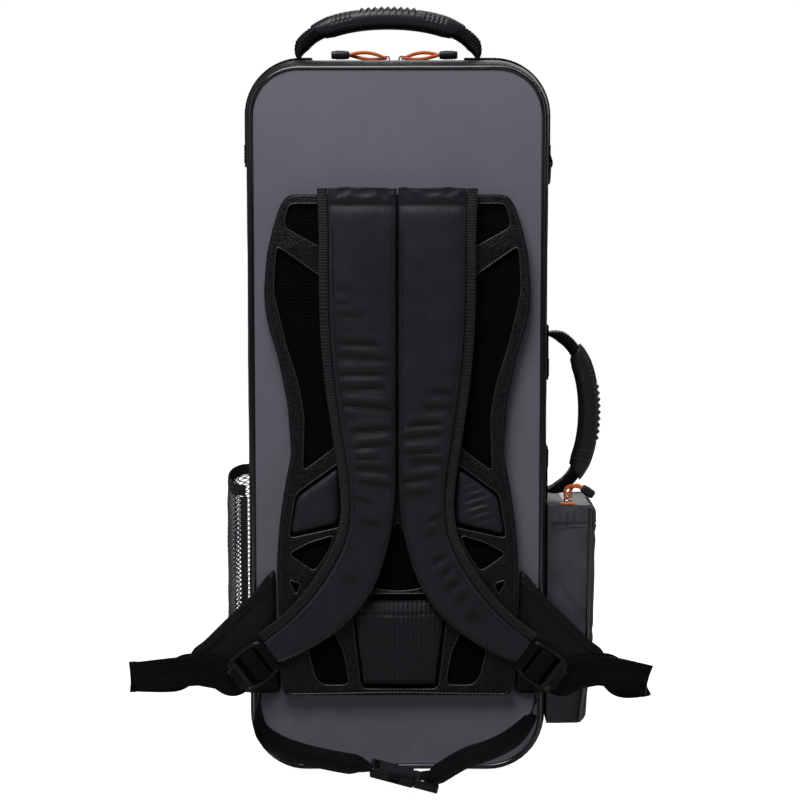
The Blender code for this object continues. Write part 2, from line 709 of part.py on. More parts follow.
def make_foam():
    """Moulded foam in both halves, hollowed for the instrument."""
    inset = WALL + FOAM_CLEARANCE
    side = inset + SIDE_INSET + WALL
    end = inset + END_INSET + WALL
    hollows = foam_hollows()
    base_face = SEAM_Y - SEAM_RIM - FOAM_FACE_DROP
    base_back = BACK_Y + WALL + FOAM_CLEARANCE
    lid_face = SEAM_Y + SEAM_RIM + FOAM_FACE_DROP
    lid_back = SEAM_Y + LID_DEPTH - WALL - FOAM_CLEARANCE
    base_floors = {
        "body": BODY_FLOOR, "bell": BELL_FLOOR, "bow": BOW_FLOOR,
        "neck": NECK_FLOOR, "mouthpiece": MOUTHPIECE_FLOOR,
    }
    lid_floors = {"body": LID_BODY_FLOOR, "bell": LID_BELL_FLOOR}
    lid_flat = lid_back - LID_EDGE_ROUND + WALL
    halves = (
        ("base_foam", base_face, BACK_Y + EDGE_ROUND, base_back, base_floors),
        ("lid_foam", lid_face, lid_flat, lid_back, lid_floors),
    )
    for name, face_y, flat_y, back_y, floors in halves:
        rings = [
            ring_at(case_outline(inset, inset), face_y),
            ring_at(case_outline(inset, inset), flat_y),
            ring_at(case_outline(side, end), back_y),
        ]
        foam = add_mesh(name, loft(rings), "plush", PLUSH)
        toward_face = math.copysign(1, face_y - back_y)
        over = face_y + toward_face * CUT_OVERRUN
        for key, floor in floors.items():
            floor_y = back_y + toward_face * floor
            plate = plate_mesh([hollows[key]], min(over, floor_y), abs(over - floor_y))
            cut(foam, add_cutter(name + "_" + key, plate))


def make_slider(name, centre, along, side):
    """A zip slider on its chain: a flat body with a bail bridge along its travel."""
    turn = Matrix((along, side, Z_AXIS)).transposed().to_4x4()
    body_centre = centre + Z_AXIS * (SLIDER_HEIGHT / 2)
    mesh = box_mesh((SLIDER_LENGTH, SLIDER_WIDTH, SLIDER_HEIGHT), body_centre, turn)
    slider = add_mesh(name, mesh, "zip_metal", ZIP_METAL)
    sink = SLIDER_HEIGHT / 4
    bail_centre = centre + Z_AXIS * (SLIDER_HEIGHT + BAIL_HEIGHT / 2 - sink)
    bail = add_cutter(name + "_bail", box_mesh((BAIL_LENGTH, BAIL_WIDTH, BAIL_HEIGHT), bail_centre, turn))
    join = slider.modifiers.new("bail", "BOOLEAN")
    join.operation = "UNION"
    join.solver = "EXACT"
    join.object = bail
    eye_height = BAIL_HEIGHT - sink - BAIL_BAR
    eye_length = BAIL_LENGTH - 2 * BAIL_BAR
    eye_centre = centre + Z_AXIS * (SLIDER_HEIGHT + eye_height / 2 + GAP / 2)
    size = (eye_length, SLIDER_WIDTH, eye_height - GAP)
    cut(slider, add_cutter(name + "_eye", box_mesh(size, eye_centre, turn)))
    set_origin(slider, centre)
    return eye_centre


def make_pull(prefix, eye, route, grip_ends, eye_side, side):
    """A cord loop through the slider's eye and the moulded grip on its far end.

    route runs from the eye to the grip along the loop's middle line. The loop's two strands lie apart
    along eye_side at the eye and along side at the grip.
    """
    spread = BAIL_WIDTH / 2 + CORD_RADIUS + 2 * GAP
    last = len(route) - 1
    turns = [max(0.0, (i / last - PULL_TWIST_SHARE) / (1 - PULL_TWIST_SHARE)) for i in range(last + 1)]
    spreads = [eye_side.lerp(side, turn).normalized() * spread for turn in turns]
    one = [point + apart for point, apart in zip(route, spreads)]
    other = [point - apart for point, apart in zip(route, spreads)]
    back = (route[0] - route[1]).normalized() * CORD_RADIUS / 4
    path = one[::-1] + [route[0] + back] + other
    cord = add_mesh(prefix + "_pull_cord", tube_mesh(path, CORD_RADIUS), "orange_cord", ORANGE_CORD)
    smooth(cord)
    set_origin(cord, eye)
    begin, end = grip_ends
    along = (end - begin).normalized()
    up = along.cross(side)
    rings = []
    for share, size in PULL_GRIP_SHARES:
        half_width = PULL_GRIP_WIDTH / 2 * size
        half_height = PULL_GRIP_THICKNESS / 2 * size
        rings.append(oval(begin.lerp(end, share), side, up, half_width, half_height, 10))
    grip = add_mesh(prefix + "_pull_grip", loft(rings), "rubber", RUBBER)
    smooth(grip)
    set_origin(grip, eye)


def make_main_sliders():
    """Two sliders meet at the middle of the top, with their pulls lying away from each other."""
    for name, sign in (("left", -1), ("right", 1)):
        x = SLIDER_MIDDLE + sign * SLIDER_APART / 2
        centre = Vector((x, SEAM_Y, CASE_HEIGHT + GAP))
        eye = make_slider(name + "_slider", centre, X_AXIS, Y_AXIS)
        lie = X_AXIS * sign
        steps = 4
        route = [eye + lie * (PULL_CORD_LENGTH * i / steps) for i in range(steps + 1)]
        begin = route[-1] + lie * GAP
        make_pull(name, eye, route, (begin, begin + lie * PULL_GRIP_LENGTH), Y_AXIS, Y_AXIS)


def arch(span, rise, steps=20, power=2.5):
    """A flat arch: places along it as (sideways, outwards), from one foot to the other."""
    places = []
    for i in range(steps + 1):
        angle = math.pi * (1 - i / steps)
        c, s = math.cos(angle), math.sin(angle)
        sideways = math.copysign(abs(c) ** (2 / power), c) * span / 2
        places.append((sideways, s ** (2 / power) * rise))
    return places


def even_path(path, count):
    """The same path with its points at equal distances."""
    lengths = [0.0]
    for a, b in zip(path, path[1:]):
        lengths.append(lengths[-1] + (b - a).length)
    total = lengths[-1]
    spaced, k = [], 0
    for i in range(count + 1):
        want = total * i / count
        while k < len(path) - 2 and lengths[k + 1] < want:
            k += 1
        share = (want - lengths[k]) / (lengths[k + 1] - lengths[k])
        spaced.append(path[k].lerp(path[k + 1], share))
    return spaced, total


def make_handle(prefix, foot, sideways, out, span, rise, grip_length):
    """A webbing handle with a ribbed grip: foot is the middle between its ends on the case."""
    raw = [foot + sideways * a + out * b for a, b in arch(span, rise - GRIP_THICKNESS / 2, 48)]
    across = sideways.cross(out)
    path, total = even_path(raw, 44)
    grip_start = (total - grip_length) / 2
    tail = grip_start - HANDLE_TAIL_TAPER
    stations = [(0.0, False)] + [(tail * share, True) for share in HANDLE_TAIL_SHARES]
    inside = grip_length + 4 * GAP
    stations += [(grip_start - 2 * GAP + inside * i / 12, False) for i in range(13)]
    stations += [(total - tail * share, True) for share in reversed(HANDLE_TAIL_SHARES)]
    stations.append((total, False))
    rings = []
    for at, full in stations:
        point, way = path_at(path, total, at)
        thickness = HANDLE_TAIL_THICKNESS if full else HANDLE_WEB_THICKNESS
        width = HANDLE_WEB_WIDTH if full else HANDLE_CORE_WIDTH
        rings.append(oval(point, across, way.cross(across), width / 2, thickness / 2, 10, 4))
    strap = add_mesh(prefix + "_handle_strap", loft(rings), "webbing", BLACK_WEBBING)
    smooth(strap)
    set_origin(strap, foot)
    grip_rings(prefix, path, total, grip_start, across, foot)


def path_at(path, total, distance):
    """Point and direction at a distance along an even path."""
    count = len(path) - 1
    place = min(max(distance / total * count, 0), count - FLAT)
    k = int(place)
    return path[k].lerp(path[k + 1], place - k), (path[k + 1] - path[k]).normalized()


def grip_rings(prefix, path, total, start, across, foot):
    """The moulded grip: a sleeve with a ribbed middle and tapered ends."""
    length = total - 2 * start
    ribs = RIB_COUNT * RIB_PITCH
    plain = (length - ribs) / 2
    stations = [(plain * share, size) for share, size in GRIP_END_SHARES]
    for k in range(RIB_COUNT):
        low = plain + k * RIB_PITCH
        stations.append((low + RIB_PITCH / 4, 1.0 + 2 * GRIP_RIB / GRIP_THICKNESS))
        stations.append((low + 3 * RIB_PITCH / 4, 1.0))
    stations += [(length - plain * share, size) for share, size in reversed(GRIP_END_SHARES)]
    outer, inner = [], []
    bore_width = HANDLE_CORE_WIDTH / 2 + 2 * GAP
    bore_height = HANDLE_WEB_THICKNESS / 2 + 2 * GAP
    for at, size in stations:
        point, way = path_at(path, total, start + at)
        normal = way.cross(across)
        half_width = GRIP_WIDTH / 2 * min(size, 1.0)
        outer.append(oval(point, across, normal, half_width, GRIP_THICKNESS / 2 * size, 12))
        inner.append(oval(point, across, normal, bore_width, bore_height, 12, 4))
    grip = add_mesh(prefix + "_handle_grip", loft(outer + inner[::-1], closed=True), "rubber", RUBBER)
    smooth(grip)
    set_origin(grip, foot)


def top_corner_path(side, inner_x, drop, offset):
    """From a place on the top, round a top corner and down the side."""
    radius = TOP_CORNER + offset
    centre_x = CASE_WIDTH / 2 - TOP_CORNER
    centre_z = CASE_HEIGHT - TOP_CORNER
    path = [(inner_x, CASE_HEIGHT + offset)]
    steps = 8
    for i in range(steps + 1):
        angle = math.pi / 2 * (1 - i / steps)
        path.append((centre_x + radius * math.cos(angle), centre_z + radius * math.sin(angle)))
    path.append((CASE_WIDTH / 2 + offset, CASE_HEIGHT - drop))
    return [Vector((side * x, HANDLE_Y, z)) for x, z in path]


def make_handles():
    """Both handles and the webbing that anchors them on the base half."""
    lift = GAP + ANCHOR_THICKNESS + GAP
    foot = Vector((TOP_HANDLE_X, HANDLE_Y, CASE_HEIGHT + lift))
    make_handle("top", foot, X_AXIS, Z_AXIS, TOP_HANDLE_SPAN, TOP_HANDLE_RISE, TOP_GRIP_LENGTH)
    offset = GAP + ANCHOR_THICKNESS / 2
    for name, side in (("left", -1), ("right", 1)):
        handle_end = side * TOP_HANDLE_X + TOP_HANDLE_SPAN / 2
        inner = handle_end - ANCHOR_WIDTH / 2
        path = top_corner_path(side, inner, TOP_ANCHOR_DROP, offset)
        mesh = webbing_mesh(path, [Y_AXIS] * len(path), ANCHOR_WIDTH, ANCHOR_THICKNESS)
        add_mesh("top_anchor_" + name, mesh, "webbing", BLACK_WEBBING)
    side_x = CASE_WIDTH / 2
    foot = Vector((side_x + lift, HANDLE_Y, SIDE_HANDLE_Z))
    make_handle("side", foot, Z_AXIS, X_AXIS, SIDE_HANDLE_SPAN, SIDE_HANDLE_RISE, SIDE_GRIP_LENGTH)
    for name, side in (("lower", -1), ("upper", 1)):
        handle_end = SIDE_HANDLE_Z + side * SIDE_HANDLE_SPAN / 2
        inner = handle_end + side * ANCHOR_WIDTH / 3
        outer = inner - side * SIDE_ANCHOR_LENGTH
        size = (ANCHOR_THICKNESS, ANCHOR_WIDTH, SIDE_ANCHOR_LENGTH)
        mesh = box_mesh(size, (side_x + offset, HANDLE_Y, (inner + outer) / 2))
        add_mesh("side_anchor_" + name, mesh, "webbing", BLACK_WEBBING)


def pocket_mesh(inset, top_z):
    """The side pocket's box, narrower at its foot, drawn in by inset on every side."""
    wall_x = CASE_WIDTH / 2 + GAP
    low_y = POCKET_BACK_Y + inset
    high_y = POCKET_BACK_Y + POCKET_DEPTH - inset
    rings = []
    levels = ((POCKET_BOTTOM + inset, 1.0), (POCKET_KNEE_Z, POCKET_KNEE_TAPER_SHARE), (top_z, 0.0))
    for z, share in levels:
        reach = POCKET_REACH - (POCKET_REACH - POCKET_FOOT_REACH) * share - inset
        corner = POCKET_ROUND - inset
        ring = [Vector((wall_x + inset, low_y, z))]
        for centre_y, start in ((low_y + corner, -90), (high_y - corner, 0)):
            for i in range(4):
                angle = math.radians(start + 90 * i / 3)
                x = wall_x + reach - corner + corner * math.cos(angle)
                ring.append(Vector((x, centre_y + corner * math.sin(angle), z)))
        ring.append(Vector((wall_x + inset, high_y, z)))
        rings.append(ring)
    return loft(rings)


def make_side_pocket():
    top = POCKET_BOTTOM + POCKET_HEIGHT
    body = add_mesh("side_pocket_body", pocket_mesh(0, top), "grey_nylon", GREY_NYLON)
    cut(body, add_cutter("side_pocket_hollow", pocket_mesh(POCKET_WALL, top - POCKET_WALL)))
    slot_x = CASE_WIDTH / 2 + GAP + POCKET_SLOT_X
    slot_length = POCKET_DEPTH - 2 * POCKET_SLOT_MARGIN
    middle_y = POCKET_BACK_Y + POCKET_DEPTH / 2
    centre = (slot_x, middle_y, top - POCKET_WALL / 2)
    cut(body, add_cutter("side_pocket_slot", box_mesh((POCKET_SLOT, slot_length, 3 * POCKET_WALL), centre)))
    smooth(body)
    size = (POCKET_SLOT - 2 * GAP, slot_length - 2 * GAP, POCKET_WALL - GAP)
    add_mesh("side_pocket_zip", box_mesh(size, centre), "zip_tape", BLACK_WEBBING)
    make_pocket_piping(top)
    garage_y = middle_y - slot_length / 2 - GAP - GARAGE_LENGTH / 2 + POCKET_SLOT_MARGIN / 2
    garage_size = (GARAGE_WIDTH, GARAGE_LENGTH, POCKET_WALL / 2)
    garage_z = top + GAP + POCKET_WALL / 4
    garage = box_mesh(garage_size, (slot_x, garage_y, garage_z))
    add_mesh("pocket_zip_garage", garage, "orange_cord", ORANGE_CORD)
    slider_y = garage_y + GARAGE_LENGTH / 2 + GAP + SLIDER_LENGTH / 2
    centre = Vector((slot_x, slider_y, top + GAP))
    eye = make_slider("pocket_slider", centre, Y_AXIS, -X_AXIS)
    places = [eye + (X_AXIS * out + Z_AXIS * up) * POCKET_CORD_LENGTH for out, up in POCKET_CORD_SHARES]
    route = smooth_path([eye] + places, 3)
    ahead = X_AXIS * math.cos(POCKET_GRIP_TILT) - Z_AXIS * math.sin(POCKET_GRIP_TILT)
    begin = route[-1] + ahead * GAP
    make_pull("pocket", eye, route, (begin, begin + ahead * POCKET_GRIP_LENGTH), X_AXIS, Y_AXIS)


def make_pocket_piping(top):
    """Piping down the near outer edge of the side pocket and across its foot."""
    wall_x = CASE_WIDTH / 2 + GAP
    reach = PIPING_RADIUS + GAP
    y = POCKET_BACK_Y - reach
    path = []
    for z, share in ((top, 0.0), (POCKET_KNEE_Z, POCKET_KNEE_TAPER_SHARE), (POCKET_BOTTOM, 1.0)):
        out = POCKET_REACH - (POCKET_REACH - POCKET_FOOT_REACH) * share - POCKET_ROUND
        path.append(Vector((wall_x + out, y, z)))
    piping = add_mesh("side_pocket_piping", tube_mesh(path, PIPING_RADIUS), "piping", PIPING_BLACK)
    smooth(piping)


def net_section(reach, offset, count):
    """Places across the bottle pocket in X and Y: a bowed sheet sewn to the case at both edges."""
    places = []
    for i in range(count + 1):
        share = i / count
        y = NET_BACK_Y + NET_DEPTH * share
        bow = math.sin(math.pi * share) ** NET_BOW_POWER if 0 < share < 1 else 0.0
        places.append((-CASE_WIDTH / 2 - GAP - offset - reach * bow, y))
    return places


def make_bottle_pocket():
    """A net that bows out from the left side, with an elastic binding on its dipped top edge."""
    shape = bmesh.new()
    rows = []
    for r in range(NET_ROWS + 1):
        share = r / NET_ROWS
        reach = NET_REACH * min(1.0, NET_FOOT_SHARE + share / NET_KNEE_SHARE)
        row = []
        for i, (x, y) in enumerate(net_section(reach, NET_STRAND, NET_COLUMNS)):
            near = 1 - i / NET_COLUMNS
            z = NET_BOTTOM + (NET_HEIGHT - NET_BINDING - NET_DIP * near) * share
            row.append(shape.verts.new((x, y, z)))
        rows.append(row)
    for low, high in zip(rows, rows[1:]):
        for i in range(NET_COLUMNS):
            shape.faces.new((low[i], low[i + 1], high[i + 1], high[i]))
    shape.normal_update()
    strands = bmesh.ops.inset_individual(shape, faces=shape.faces[:], thickness=NET_STRAND / 2)["faces"]
    gaps = set(shape.faces) - set(strands)
    bmesh.ops.delete(shape, geom=list(gaps), context="FACES")
    mesh = bpy.data.meshes.new("net")
    shape.to_mesh(mesh)
    shape.free()
    net = add_mesh("mesh_pocket_net", mesh, "mesh", MESH_BLACK)
    step = net.modifiers.new("strands", "SOLIDIFY")
    step.thickness = NET_STRAND
    step.offset = 0
    rings = []
    thickness = NET_BINDING_THICKNESS
    for i, (x, y) in enumerate(net_section(NET_REACH, NET_STRAND, 2 * NET_COLUMNS)):
        near = 1 - i / (2 * NET_COLUMNS)
        low = NET_BOTTOM + NET_HEIGHT - NET_BINDING - NET_DIP * near + NET_STRAND / 2
        centre = Vector((x, y, low + NET_BINDING / 2))
        rings.append(strip_ring(centre, X_AXIS, Z_AXIS, thickness, NET_BINDING))
    add_mesh("mesh_pocket_binding", loft(rings), "webbing", BLACK_WEBBING)


def make_rings_and_tabs():
    """A tab with a D-ring high on the right side, and a webbing tab lower down."""
    wall_x = CASE_WIDTH / 2
    top = CASE_HEIGHT - RING_DROP
    ring_x = wall_x + GAP + TAB_THICKNESS + GAP + RING_WIRE
    bar_z = top - TAB_HEIGHT + RING_WIRE
    path = [Vector((wall_x + GAP + TAB_THICKNESS / 2, RING_Y, top))]
    turn = RING_WIRE + GAP + TAB_THICKNESS / 2
    for i in range(7):
        angle = -math.pi + math.pi * i / 6
        path.append(Vector((ring_x + turn * math.cos(angle), RING_Y, bar_z + turn * math.sin(angle))))
    path.append(Vector((ring_x + turn, RING_Y, bar_z + 2 * RING_WIRE)))
    path.append(Vector((ring_x + TAB_THICKNESS / 2 + GAP - RING_WIRE, RING_Y, top)))
    mesh = webbing_mesh(path, [Y_AXIS] * len(path), TAB_WIDTH, TAB_THICKNESS)
    add_mesh("upper_tab", mesh, "webbing", BLACK_WEBBING)
    half = RING_WIDTH / 2 - RING_WIRE
    loop = [Vector((ring_x, RING_Y - half, bar_z)), Vector((ring_x, RING_Y + half, bar_z))]
    for i in range(9):
        angle = -math.pi * i / 8
        drop = (RING_HEIGHT - 2 * RING_WIRE) * math.sin(angle)
        if 0 < i < 8:
            loop.append(Vector((ring_x, RING_Y + half * math.cos(angle), bar_z + drop)))
    ring = add_mesh("upper_d_ring", tube_mesh(loop, RING_WIRE, cyclic=True), "black_metal", BLACK_METAL)
    smooth(ring)
    set_origin(ring, Vector((ring_x, RING_Y, bar_z)))
    size = (LOWER_TAB_REACH, 2 * TAB_THICKNESS, LOWER_TAB_HEIGHT)
    centre = (wall_x - SIDE_INSET + LOWER_TAB_REACH / 2, PIPING_Y, LOWER_TAB_Z)
    add_mesh("lower_tab", box_mesh(size, centre), "webbing", BLACK_WEBBING)


def pad_place(share, sign=-1):
    """A place on the harness from shares: the outer side is positive, sign picks the side."""
    return sign * share[0] * PAD_HALF, PAD_BOTTOM + share[1] * PAD_HEIGHT


def cushion_mesh(outline, back_y, thickness, levels):
    """A crowned pad over an outline in X and Z; levels are shares of thickness and of the outline's size."""
    middle_x = sum(x for x, _ in outline) / len(outline)
    middle_z = sum(z for _, z in outline) / len(outline)
    rings = []
    for rise, size in levels:
        y = back_y - thickness * rise
        ring = [(middle_x + (x - middle_x) * size, middle_z + (z - middle_z) * size) for x, z in outline]
        rings.append(ring_at(ring, y))
    return loft(rings)


def make_harness_pad():
    left = [pad_place(share, -1) for share in PAD_OUTLINE_SHARES]
    right = [pad_place(share, 1) for share in PAD_OUTLINE_SHARES]
    outline = right + left[::-1]
    add_mesh("harness_pad", plate_mesh([outline], PAD_FRONT_Y, PAD_THICKNESS), "mesh", MESH_BLACK)
    windows = []
    pairs = (
        UPPER_WINDOW_SHARES, SIDE_WINDOW_SHARES, HIP_WINDOW_SHARES, OUTER_WINDOW_SHARES,
        SLIVER_WINDOW_SHARES, LOWER_WINDOW_SHARES,
    )
    for shares in pairs:
        for sign in (-1, 1):
            windows.append([pad_place(share, sign) for share in shares])
    for shares in (MIDDLE_WINDOW_SHARES, LUMBAR_FRAME_SHARES):
        windows.append([pad_place(share, 1) for share in shares])
    mesh = plate_mesh([outline] + windows, BORDER_FRONT_Y, BORDER_THICKNESS)
    add_mesh("harness_border", mesh, "textured_border", BLACK_NYLON)
    for name, sign in (("left", -1), ("right", 1)):
        hip = [pad_place(share, sign) for share in HIP_PAD_SHARES]
        mesh = cushion_mesh(hip, BORDER_BACK_Y, HIP_PAD_THICKNESS, CUSHION_LEVEL_SHARES)
        pad = add_mesh(name + "_hip_pad", mesh, "navy_nylon", NAVY_NYLON)
        smooth(pad, SOFT_ANGLE)
    make_lumbar_pad()


def make_lumbar_pad():
    """A low cushion with upright gathers, wider at its top."""
    frame = [pad_place(share, 1) for share in LUMBAR_FRAME_SHARES]
    (left, top), (right, _), (foot_right, bottom), (foot_left, _) = frame
    low_z = bottom + LUMBAR_END_CLEARANCE
    height = top - LUMBAR_END_CLEARANCE - low_z
    top_width = right - left - 2 * LUMBAR_SIDE_CLEARANCE
    foot_width = foot_right - foot_left - 2 * LUMBAR_SIDE_CLEARANCE
    rings = []
    count = 4 * LUMBAR_CHANNELS
    for i in range(count + 1):
        share = i / count
        edge = math.sin(math.pi * share) ** LUMBAR_END_POWER if 0 < i < count else LUMBAR_END_SHARE
        channel = 0.5 - 0.5 * math.cos(2 * math.pi * LUMBAR_CHANNELS * share)
        thick = (LUMBAR_THICKNESS - LUMBAR_CHANNEL_DEPTH * (1 - channel)) * edge
        ring = []
        for rise, depth in LUMBAR_PROFILE_SHARES:
            width = foot_width + (top_width - foot_width) * rise
            x = (left + right - width) / 2 + width * share
            ring.append(Vector((x, BORDER_BACK_Y - thick * depth, low_z + height * rise)))
        rings.append(ring)
    pad = add_mesh("lumbar_pad", loft(rings), "navy_nylon", NAVY_NYLON)
    smooth(pad, SOFT_ANGLE)


def strap_edges(sign):
    outer = [Vector((x, 0, z)) for x, z in (pad_place(share, sign) for share in STRAP_OUTER_SHARES)]
    inner = [Vector((x, 0, z)) for x, z in (pad_place(share, sign) for share in STRAP_INNER_SHARES)]
    return smooth_path(outer, 2), smooth_path(inner, 2)


def strap_pivot(sign):
    """The middle of the strap's sewn top edge, about which it swings."""
    outer, inner = strap_edges(sign)
    return (outer[0] + inner[0]) / 2 + Y_AXIS * STRAP_BACK_Y


def strap_thicknesses():
    sizes = []
    for a, b in zip(STRAP_THICKNESS_SHARES, STRAP_THICKNESS_SHARES[1:]):
        sizes += [a * STRAP_THICKNESS, (a + b) / 2 * STRAP_THICKNESS - STRAP_WRINKLE]
    return sizes + [STRAP_THICKNESS_SHARES[-1] * STRAP_THICKNESS]


def make_shoulder_strap(name, sign):
    """One shoulder strap: a crowned pad that turns outwards, and the binding on its outer edge."""
    outer, inner = strap_edges(sign)
    sizes = strap_thicknesses()
    count = len(outer) - 1
    rings, binding = [], []
    out = -Y_AXIS
    for i, (a, b, size) in enumerate(zip(outer, inner, sizes)):
        share = max(0.0, (i / count - STRAP_TURN_SHARE) / (1 - STRAP_TURN_SHARE))
        flat = STRAP_BACK_Y - size / 2
        y = flat + (LOCK_Y - (STRAP_BACK_Y - sizes[-1] / 2)) * share
        middle = (a + b) / 2 + Y_AXIS * y
        across = (a - b).normalized()
        half = (a - b).length / 2
        rings.append(oval(middle, across, out, half, size / 2, 14, 2.8))
        edge = middle + across * (half + GAP + BINDING_WIDTH / 2)
        binding.append(strip_ring(edge, across, out, BINDING_WIDTH, BINDING_THICKNESS))
    pad = add_mesh(name + "_strap_pad", loft(rings), "navy_nylon", NAVY_NYLON)
    smooth(pad, SOFT_ANGLE)
    set_origin(pad, strap_pivot(sign))
    edge = add_mesh(name + "_strap_binding", loft(binding), "webbing", BLACK_WEBBING)
    set_origin(edge, strap_pivot(sign))


def lock_frame(sign):
    """The ladder lock's centre, its direction away from the strap and its bars' direction."""
    outer, inner = strap_edges(sign)
    end = (outer[-1] + inner[-1]) / 2
    along = Vector((sign * math.cos(LOCK_TURN), 0, -math.sin(LOCK_TURN)))
    across = Vector((sign * math.sin(LOCK_TURN), 0, math.cos(LOCK_TURN)))
    centre = end + along * (LOCK_LENGTH / 2 + LOCK_BAR / 2) + Y_AXIS * LOCK_Y
    return centre, along, across


def make_ladder_lock(name, sign):
    """A moulded frame with three bars, and the webbing tab that holds it on the strap's end."""
    centre, along, across = lock_frame(sign)
    turn = Matrix((along, -Y_AXIS, across)).transposed().to_4x4()
    lock = add_mesh(
        name + "_ladder_lock", box_mesh((LOCK_LENGTH, LOCK_THICKNESS, LOCK_WIDTH), centre, turn),
        "buckle_plastic", BUCKLE_PLASTIC,
    )
    bevel(lock, LOCK_ROUND)
    first = -LOCK_LENGTH / 2 + LOCK_BAR + LOCK_SLOT / 2
    for key, at in (("near", first), ("far", first + LOCK_SLOT + LOCK_BAR)):
        size = (LOCK_SLOT, LOCK_THICKNESS + 2 * CUT_OVERRUN, LOCK_WIDTH - 2 * LOCK_SIDE)
        cutter = add_cutter(name + "_lock_slot_" + key, box_mesh(size, centre + along * at, turn))
        cut(lock, cutter)
    set_origin(lock, strap_pivot(sign))
    bar = centre + along * (-LOCK_LENGTH / 2 + LOCK_BAR / 2)
    reach = LOCK_BAR / 2 + GAP + WEBBING_THICKNESS / 2
    rise = LOCK_THICKNESS / 2 + GAP + WEBBING_THICKNESS / 2
    out = -Y_AXIS
    start = bar - along * (LOCK_BAR - 2 * GAP)
    fold = [bar + along * (reach * a) + out * (rise * b) for a, b in LOCK_TAB_SHARES]
    path = [start + out * rise] + fold + [start - out * rise]
    width = LOCK_WIDTH - 2 * LOCK_SIDE - 4 * GAP
    mesh = webbing_mesh(path, [across] * len(path), width, WEBBING_THICKNESS)
    tab = add_mesh(name + "_lock_tab", mesh, "webbing", BLACK_WEBBING)
    set_origin(tab, strap_pivot(sign))


def make_strap_webbing(name, sign, loop_reach):
    """The adjusting webbing: threaded through the lock, out past the wing, folded and back behind its tip."""
    centre, along, across = lock_frame(sign)
    out = -Y_AXIS
    middle = -LOCK_LENGTH / 2 + LOCK_BAR + LOCK_SLOT + LOCK_BAR / 2
    over = LOCK_THICKNESS / 2 + GAP + WEBBING_THICKNESS / 2
    near = middle - LOCK_BAR / 2 - LOCK_SLOT / 2
    far = middle + LOCK_BAR / 2 + LOCK_SLOT / 2
    run = centre.y - RUN_Y
    tail = centre.y - TAIL_Y

    def place(s, n):
        return centre + along * s + out * n

    path = [place(far + LOCK_BAR, -abs(tail)), place(near + LOCK_BAR, -abs(tail))]
    path += [place(near, -over), place(near, 0)]
    path += [place(near + LOCK_BAR / 2, over), place(far - LOCK_BAR / 2, over)]
    dip = place(far + LOCK_BAR / 4, -abs(run) * WEBBING_DIP_SHARE)
    path += [place(far, 0), dip, place(far + LOCK_BAR, -abs(run))]
    acrosses = [across] * len(path)
    exit_point = place(LOCK_LENGTH / 2 + LOCK_BAR, -abs(run))
    tip_x = WING_EDGE_SHARES[4][0] * PAD_HALF
    loop_x = tip_x + loop_reach
    tip_z = PAD_BOTTOM + (WING_EDGE_SHARES[3][1] + WING_EDGE_SHARES[5][1]) / 2 * PAD_HEIGHT
    tip = Vector((sign * tip_x, RUN_Y, tip_z))
    bend = exit_point.lerp(tip, WEBBING_BEND_SHARE)
    bend.z = tip_z
    path += [exit_point, bend, tip, Vector((sign * (loop_x - FOLD_RADIUS), RUN_Y, tip_z))]
    acrosses += [across.lerp(Z_AXIS, share).normalized() for share in (0.3, 0.7, 1.0, 1.0)]
    back_y = RUN_Y + 2 * FOLD_RADIUS
    for i in range(1, 6):
        angle = math.pi * i / 6
        x = sign * (loop_x - FOLD_RADIUS + FOLD_RADIUS * math.sin(angle))
        path.append(Vector((x, RUN_Y + FOLD_RADIUS * (1 - math.cos(angle)), tip_z)))
        acrosses.append(Z_AXIS)
    clear_y = WING_BACK_Y + GAP + WEBBING_THICKNESS / 2
    path.append(Vector((sign * (loop_x - FOLD_RADIUS), back_y, tip_z)))
    path.append(Vector((sign * (tip_x + WEBBING_WIDTH / 2), (back_y + clear_y) / 2, tip_z)))
    path.append(Vector((sign * (tip_x + 4 * GAP), clear_y, tip_z)))
    path.append(Vector((sign * (tip_x - WEBBING_WIDTH / 2), clear_y, tip_z)))
    acrosses += [Z_AXIS] * 4
    mesh = webbing_mesh(path, acrosses, WEBBING_WIDTH, WEBBING_THICKNESS)
    add_mesh(name + "_strap_webbing", mesh, "webbing", BLACK_WEBBING)


def make_wing(name, sign):
    """A hip wing: a flat cushion sewn to the lower side of the harness pad."""
    shares = WING_ROOT_SHARES + WING_EDGE_SHARES
    outline = [(x + sign * 2 * GAP, z) for x, z in (pad_place(share, sign) for share in shares)]
    mesh = cushion_mesh(outline, WING_BACK_Y, WING_THICKNESS, WING_LEVEL_SHARES)
    wing = add_mesh(name + "_wing", mesh, "black_nylon", BLACK_NYLON)
    smooth(wing, SOFT_ANGLE)


def buckle_place(along, out):
    """A place in the buckle: along its length to the right, out of its upper face."""
    c, s = math.cos(BUCKLE_TILT), math.sin(BUCKLE_TILT)
    return Vector((BUCKLE_X + along * c + out * s, BUCKLE_Y, BUCKLE_Z - along * s + out * c))


def buckle_box(start, end, width, thickness, y=0.0):
    """A box in the buckle's own directions, between two places along it."""
    turn = Matrix.Rotation(BUCKLE_TILT, 4, "Y")
    centre = buckle_place((start + end) / 2, 0) + Y_AXIS * y
    return box_mesh((end - start, width, thickness), centre, turn)


